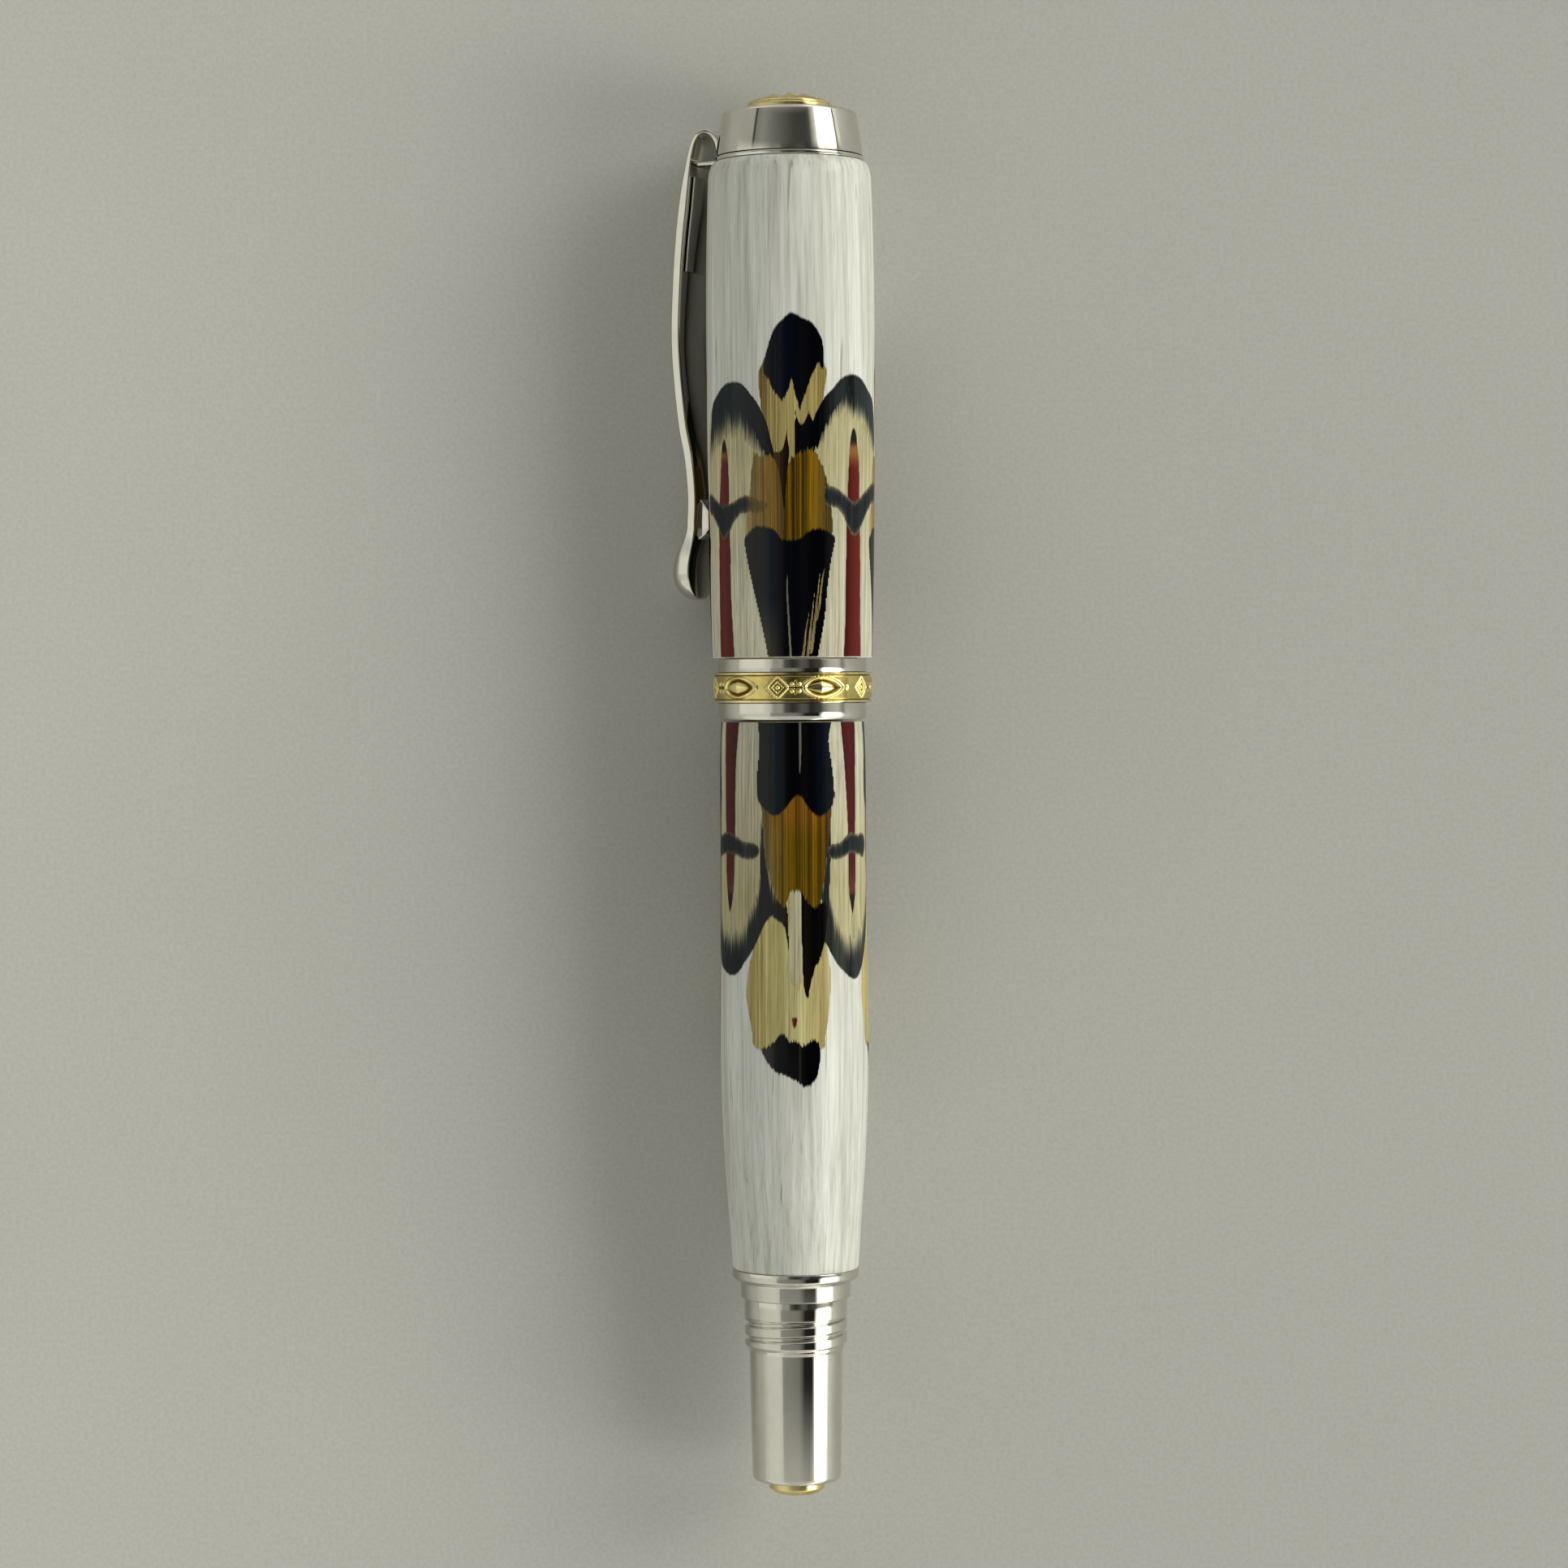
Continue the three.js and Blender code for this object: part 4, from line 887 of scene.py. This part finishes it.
def barrel_plumes(stack, shafts):
    """One central stack of feathers on the barrel."""

    def pale(a, y, n):
        return blend(a + 3 * n, [(-39, (196, 186, 142)), (-34, (166, 148, 88)), (-22, (196, 182, 120)),
            (0, (214, 207, 158)), (14, (196, 183, 128)), (24, (178, 161, 108)),
            (30, (196, 186, 146))]) + 8 * n[:, None]

    stack.add([(-16, -10.5), (-30, -14.2), (-37, -16.6), (-40, -19.3), (-39, -20.3), (-35, -22.5),
        (-28, -24.8), (19, -24.8), (24, -23.7), (28, -20.2), (29, -17.4), (27, -15.6), (24, -12.5),
        (12, -8), (-8, -8)], pale, 2, 1, jag=(0.3, 0.3), streak=0.08)
    stack.add([(-2, -9), (6, -9), (6, -17), (2, -19), (-3, -17)], shades((-1, (184, 178, 146)),
        (1, (204, 198, 174)), mark=1), 3, 2, jag=(0.8, 0), fade=(1.5, 0), ground=(188, 177, 126))
    stack.add([(-14, -10.6), (-9, -10), (-5, -11.3), (-4.2, -15), (-4.2, -15), (-6.2, -13.4),
        (-10, -12.4), (-16, -11.9)], shades((-14, (36, 38, 38)), (-8, (40, 32, 26)), (-4, (24, 18, 14)),
        angle=1, mark=1), 4, 9, pitch=0.07, jag=(0.4, 0), streak=0.2)
    stack.add([(6, -9), (6, -9), (14, -10.2), (20, -10.4), (27, -10.9), (25.5, -13.2), (21.8, -15.5),
        (15.5, -17.1), (12, -18.7), (10.5, -20), (10.5, -20), (8, -19), (6.5, -15.7)],
        shades((-1, (5, 4, 5)), (0.6, (14, 8, 7)), (1.4, (48, 26, 14)), mark=1), 4, 3, pitch=0.08,
        jag=(0.4, 0.2), streak=0.2)
    stack.add([(-26, -24.6), (-18, -24.2), (-9, -23), (-9, -23), (-4, -23.8), (1, -23.9), (6, -24.3),
        (12, -23.9), (17, -23.8), (19.5, -24.6), (19.6, -25.7), (18.4, -26.8), (16, -27.6), (12, -28.2),
        (8, -28.4), (3, -27.9), (-3, -27.5), (-8, -27.2), (-13, -27), (-19, -26.3), (-24, -25.3)],
        shades((-22, (57, 53, 45)), (-16, (36, 36, 33)), (-13, (16, 21, 25)), (-7, (12, 17, 22)),
        (-4, BLACK_BARB), (3, BLACK_BARB), (4, (48, 49, 46)), (5, BLACK_BARB), (20, (5, 6, 9)), angle=1,
        mark=0.6), 5, 4, jag=(0.3, 0.35), streak=0.25)
    shafts.add([(-1.5, -21.6), (1.8, -21.6), (1.6, -22.3), (0, -22.7), (-1.4, -22.2)],
        shades((-1, (96, 28, 12)), (1, (138, 58, 28)), mark=1), 6, 5, pitch=0.05, jag=(0.1, 0.15))

    def gold(a, y, n):
        top = blend(a + 2 * n, [(-24, (116, 92, 44)), (-8, (124, 84, 20)), (24, (126, 84, 22))])
        low = blend(a + 2 * n, [(-24, (122, 110, 62)), (-8, (108, 84, 18)), (4, (103, 78, 8)),
            (24, (101, 75, 12))])
        color = mixed(top, low, smooth(-y, 1.5, 5)) * (1 + 0.2 * np.clip(n, -1.6, 1.5))[:, None]
        return mixed(color, (46, 32, 12), 0.5 * smooth(a + n, 20, 31))

    stack.add([(-25, 0.6), (-25, -1.5), (-24, -3.8), (-22, -6.7), (-16, -8.9), (-12, -10.5), (-8, -10.8),
        (-4, -10), (-2, -9.5), (6, -9.5), (12, -10.6), (17, -11), (22, -9.9), (25, -7.5), (28, -4.9),
        (31, -1.5), (30, 0.6)], gold, 6, 6, jag=(0.5, 0), streak=0.08)

    def navy(a, y, n):
        return blend(a + 0.8 * n, [(-29, (20, 24, 26)), (-20, CHARCOAL), (-16, (20, 34, 42)), (-10, BLUE),
            (-6, BLACK_BARB), (10, BLACK_BARB), (20, (5, 8, 17)), (28, (7, 19, 32)), (33, BLACK_BARB)])

    stack.add([(-23, 8.5), (-27, 4.2), (-29, 1.5), (-28, -0.5), (-22, -1.6), (-14, -2.1), (-7, -1.5),
        (2, -0.2), (7, -0.4), (11, -1.2), (16, -1.9), (22, -2.2), (29, -1.6), (32, -0.9), (33, 1),
        (31, 3.3), (29, 5.1), (29, 8.5)], navy, 7, 7, jag=(0.12, 0), streak=0.25)
    shafts.add([(5.2, 8), (6.4, 8), (6.4, 4), (5.2, 1.8), (4.8, 4)], shades((4, (92, 90, 86)),
        (7, (120, 118, 110)), angle=1), 9, 8, pitch=0.05, jag=(0.1, 0))


def barrel_side(stack, shafts, left):
    """One side feather on the barrel, pointing the other way from the cap's."""
    if left:
        vane = [(-88, 8.5), (-88, -13), (-66, -16), (-48, -15), (-34, -11.5), (-20, -8), (-14, 0),
            (-14, 8.5)]
        arch = [(-24, -1.6), (-20, -7), (-12, -9.3), (-7, -10.6), (-8, -12.6), (-15, -11.8), (-22, -12.4),
            (-32, -14.8), (-41, -16.3), (-49, -17.4), (-57, -17.7), (-67, -17.4), (-80, -16.4),
            (-88, -13), (-84, -11.6), (-74, -13.2), (-62, -13.4), (-54, -13.4), (-43, -12.6),
            (-36, -11.2), (-28, -8.9), (-27, -5)]
        dark = [(-88, SLATE), (-60, (24, 34, 39)), (-40, (18, 25, 29)), (-24, (24, 28, 29)),
            (-5, (28, 24, 21))]
        shaft = [(-66, 8.5), (-66.5, 2.3), (-66, -3.2), (-66, -6), (-65, -8.7), (-62.5, -10.6),
            (-60, -11.7), (-60, -11.7), (-57, -10.6), (-54.5, -8.6), (-53.5, -5.8), (-52.5, -3.1),
            (-51.5, 2.3), (-49, 8.5)]
        bar = [(-86, -4.4), (-75, -4), (-62, -3.7), (-53, -4), (-44, -4.5), (-34, -4.7), (-28, -5.2),
            (-30, -6.1), (-40, -6.3), (-50, -6), (-60, -5.8), (-74, -6), (-86, -6.2)]
        middle, reds = -60, ((88, 28, 30), (90, 30, 32), (72, 20, 22))
    else:
        vane = [(18, 8.5), (18, 0), (18, -6), (24, -10), (34, -13), (47, -15.5), (66, -15), (82, -12),
            (86, 0), (84, 8.5)]
        arch = [(30, -1.8), (26, -5), (22, -10), (21, -13.4), (27, -14.8), (36, -16.6), (45, -17.6),
            (53, -18.1), (62, -17.6), (71, -15.8), (80, -12.8), (84, -9), (77, -10.2), (70, -12.4),
            (60, -13.6), (47, -13.9), (38, -12.8), (32, -11.2), (29, -9.5), (30.5, -5)]
        dark = [(22, (12, 14, 16)), (26, (36, 38, 38)), (40, (66, 70, 64)), (45, (40, 43, 44)),
            (47, (7, 8, 10)), (49, (26, 31, 33)), (56, (44, 49, 49)), (84, (38, 43, 46))]
        shaft = [(42.6, 8.5), (45, 2.4), (48, -3.1), (49, -9), (50.5, -10.6), (53, -11.8), (53, -11.8),
            (55.5, -10.6), (57, -9), (57, -3.1), (57.5, 2.3), (58, 8.5)]
        bar = [(28, -5.2), (33, -4.8), (40, -4.7), (44, -4.3), (51, -3.8), (60, -4), (72, -4), (76, -5),
            (72, -6.2), (62, -6), (52, -5.8), (46, -6), (38, -6.3), (30, -6.2)]
        middle, reds = 52, ((74, 15, 17), (76, 19, 21), (62, 11, 13))
    stack.add(vane, vane_paint(-9, 3), 0, 0, jag=(0.4, 0), streak=0.03)
    stack.add(arch, shades(*dark, angle=1, mark=2), 3, 1, jag=(0.15, 0.8), fade=(0, 2.2), ground=CREAM,
        streak=0.2)
    quill = quill_paint(middle, reds, -9.9, (-6.5, -9.5), (92, 50, 40), -1)
    shafts.add(shaft, quill, 8, 2, pitch=0.07, jag=(0.02, 0), streak=0.05)
    stack.add(bar, BAR, 10, 3, pitch=0.08, jag=(0.18, 0.18), fade=(0.4, 0.45), ground=(120, 114, 96))


def feathers():
    """Each half's side feathers and central stacks: those in front, then those turned behind."""
    halves = [("cap", 0, (cap_radius, 13.36, 61.9), cap_side, (102, -106), cap_plumes, (103, -108)),
        ("barrel", 100, (barrel_radius, -46.6, 7), barrel_side, (102, -104), barrel_plumes, (105, -112))]
    for body, seed, extent, side, side_turns, plumes, turns in halves:
        stack, edges, shafts = (Plumage(*extent) for _ in range(3))
        motifs = [(0, True), (0, False), (side_turns[0], False), (side_turns[1], True)]
        motifs += [(turn,) for turn in (0, *turns)]
        for turn, *left in motifs:
            seed += 10
            for plumage in (stack, edges, shafts):
                plumage.turn, plumage.seed = turn, seed
            if left:
                side(edges, shafts, *left)
            else:
                plumes(stack, shafts)
        stack.finish(body + "_central_feathers", PLUMAGE, body)
        edges.finish(body + "_side_feathers", PLUMAGE, body)
        shafts.finish(body + "_feather_shafts", SHAFTS, body)


# CAD pieces that keep their shape

KEPT = {"cap_tube": BRASS, "barrel_tube": BRASS, "cap_top_bush": BRASS, "barrel_front_bush": BRASS,
    "inner_cap": BLACK, "finial_screw": STEEL, "nib_housing": BLACK, "nib": STEEL, "feed": BLACK,
    "converter_mouth": BLACK, "converter_tube": CLEAR, "converter_band": CHROME,
    "converter_piston": RUBBER, "converter_rod": STEEL, "converter_knob": BLACK}


def paint_kept():
    for node, material in KEPT.items():
        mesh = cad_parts[node].data
        mesh.materials.clear()
        mesh.materials.append(material)


# Table, light and camera


def table():
    size = 0.9
    corners = [(-size, -size, 0), (size, -size, 0), (size, size, 0), (-size, size, 0)]
    mesh = bpy.data.meshes.new("table")
    mesh.from_pydata(corners, [], [(0, 1, 2, 3)])
    top = bpy.data.objects.new("table", mesh)
    bpy.context.scene.collection.objects.link(top)
    look = Look("table_top", roughness=0.6, specular_ior_level=0.3)
    cloud = look.noise((0.015, 0.015, 0.015), detail=5)
    grain = look.noise((2.5, 2.5, 2.5), detail=4)
    tone = look.ramp(cloud, [(0.3, (207, 207, 205)), (0.7, (213, 213, 211))])
    fleck = look.ramp(grain, [(0.3, (243, 243, 242)), (0.65, (255, 255, 255))])
    # Painted light: the top is painted darker from 75 mm left of the pen's axis to 10 mm right of it, in
    # place of the light's falloff across the table.
    across = look.node("ShaderNodeSeparateXYZ", {0: look.place}).outputs["X"]
    side = look.span(across, 0, 1, (-0.075, 0.01))
    painted_light_falloff = look.ramp(side, [(0, (255, 255, 255)), (1, (240, 240, 240))])
    look.set("Base Color", look.times(look.times(tone, fleck), painted_light_falloff))
    mesh.materials.append(look.material)


# Brightness by degrees from straight up, positive towards +X: the room that the metal
# shows in the middle, from the finial and from the tail, and the light beyond it
MIDDLE = [(-95, 0.62), (-84, 0.8), (-48, 0.82), (-35, 0.6), (-28, 0.33), (-17, 0.36), (-11, 0.1),
    (0, 0.035), (8, 0.06), (14, 0.12), (22, 0.1), (28, 0.03), (44, 0.07), (50, 0.25), (60, 0.5),
    (74, 0.6), (84, 0.25), (92, 0.5)]
FINIAL = [(-93, 0.45), (-63, 0.42), (-61, 0.06), (-59, 0.06), (-57, 0.24), (-45, 0.3), (-28, 0.19),
    (-12, 0.13), (0, 0.085), (12, 0.06), (28, 0.06), (34, 0.1), (40, 0.5), (45, 0.95), (50, 5), (79, 5),
    (81, 0.2), (83, 0.2), (85, 0.95), (93, 0.9)]
TAIL = [(-93, 0.5), (-73, 0.67), (-44, 0.7), (-36, 0.65), (-34, 0.32), (-27, 0.28), (6, 0.22), (14, 0.12),
    (20, 0.02), (41, 0.015), (46, 0.9), (50, 6), (80, 6), (84, 0.9), (88, 1.2), (90, 0.4), (92, 0.9)]
BEYOND = [(-92, 0.78), (-50, 0.78), (-30, 0.57), (35, 0.55), (38, 0.75), (54, 0.75), (56, 2.9), (64, 2.9),
    (67, 1.25), (92, 1.25)]
BRIGHTEST = 6
WARMTH = 0.89  # the light's blue against its red and green


def room():
    """A world whose brightness goes by the direction round the pen and along it."""
    world = bpy.data.worlds.new("studio")
    bpy.context.scene.world = world
    world.use_nodes = True
    tree = world.node_tree
    background = tree.nodes["Background"]

    def add(kind, inputs=None, **settings):
        return add_node(tree, kind, inputs, **settings)

    def step(value, low, high):
        span = {"Value": value, "From Min": low, "From Max": high}
        return add("ShaderNodeMapRange", span, interpolation_type="SMOOTHSTEP").outputs[0]

    def mix(factor, a, b):
        node = add("ShaderNodeMix", {"Factor": factor}, data_type="RGBA")
        tree.links.new(a, node.inputs["A"])
        tree.links.new(b, node.inputs["B"])
        return node.outputs["Result"]

    direction = add("ShaderNodeTexCoord").outputs["Generated"]
    split = add("ShaderNodeSeparateXYZ", {0: direction})
    angle = add("ShaderNodeMath", {0: split.outputs["X"], 1: split.outputs["Z"]},
        operation="ARCTAN2").outputs[0]
    span = {"Value": angle, "From Min": -math.pi, "From Max": math.pi}
    share = add("ShaderNodeMapRange", span).outputs[0]

    def ring(levels):
        stops = []
        for degrees, value in levels:
            level = value / BRIGHTEST
            stops.append(((degrees + 180) / 360, (level, level, level * WARMTH, 1)))
        return add_ramp(tree, share, stops)

    along = split.outputs["Y"]
    # The steps are shares of the direction along Y, so the sky changes towards each end
    near = mix(step(along, -0.12, -0.05), ring(TAIL), ring(MIDDLE))
    near = mix(step(along, 0.16, 0.3), near, ring(FINIAL))
    off = add("ShaderNodeMath", {0: along, 1: 0.12}, operation="SUBTRACT").outputs[0]
    off = add("ShaderNodeMath", {0: off}, operation="ABSOLUTE").outputs[0]
    sky = mix(step(off, 0.4, 0.6), near, ring(BEYOND))
    tree.links.new(sky, background.inputs["Color"])
    background.inputs["Strength"].default_value = BRIGHTEST


def camera():
    data = bpy.data.cameras.new("camera")
    data.lens = 94.5
    data.sensor_width = 36
    data.shift_y = -0.068
    data.clip_end = 5
    view = bpy.data.objects.new("camera", data)
    view.location = (-0.82 * MM, 11.36 * MM, (AXIS_Z + 405.6) * MM)
    view.rotation_euler = (0, 0, math.radians(-0.33))
    bpy.context.scene.collection.objects.link(view)
    bpy.context.scene.camera = view
    bpy.context.scene.view_settings.view_transform = "Standard"


resin_sleeves()
finial()
centre_band()
rear_fittings()
writing_section()
clip()
feathers()
paint_kept()
table()
room()
camera()
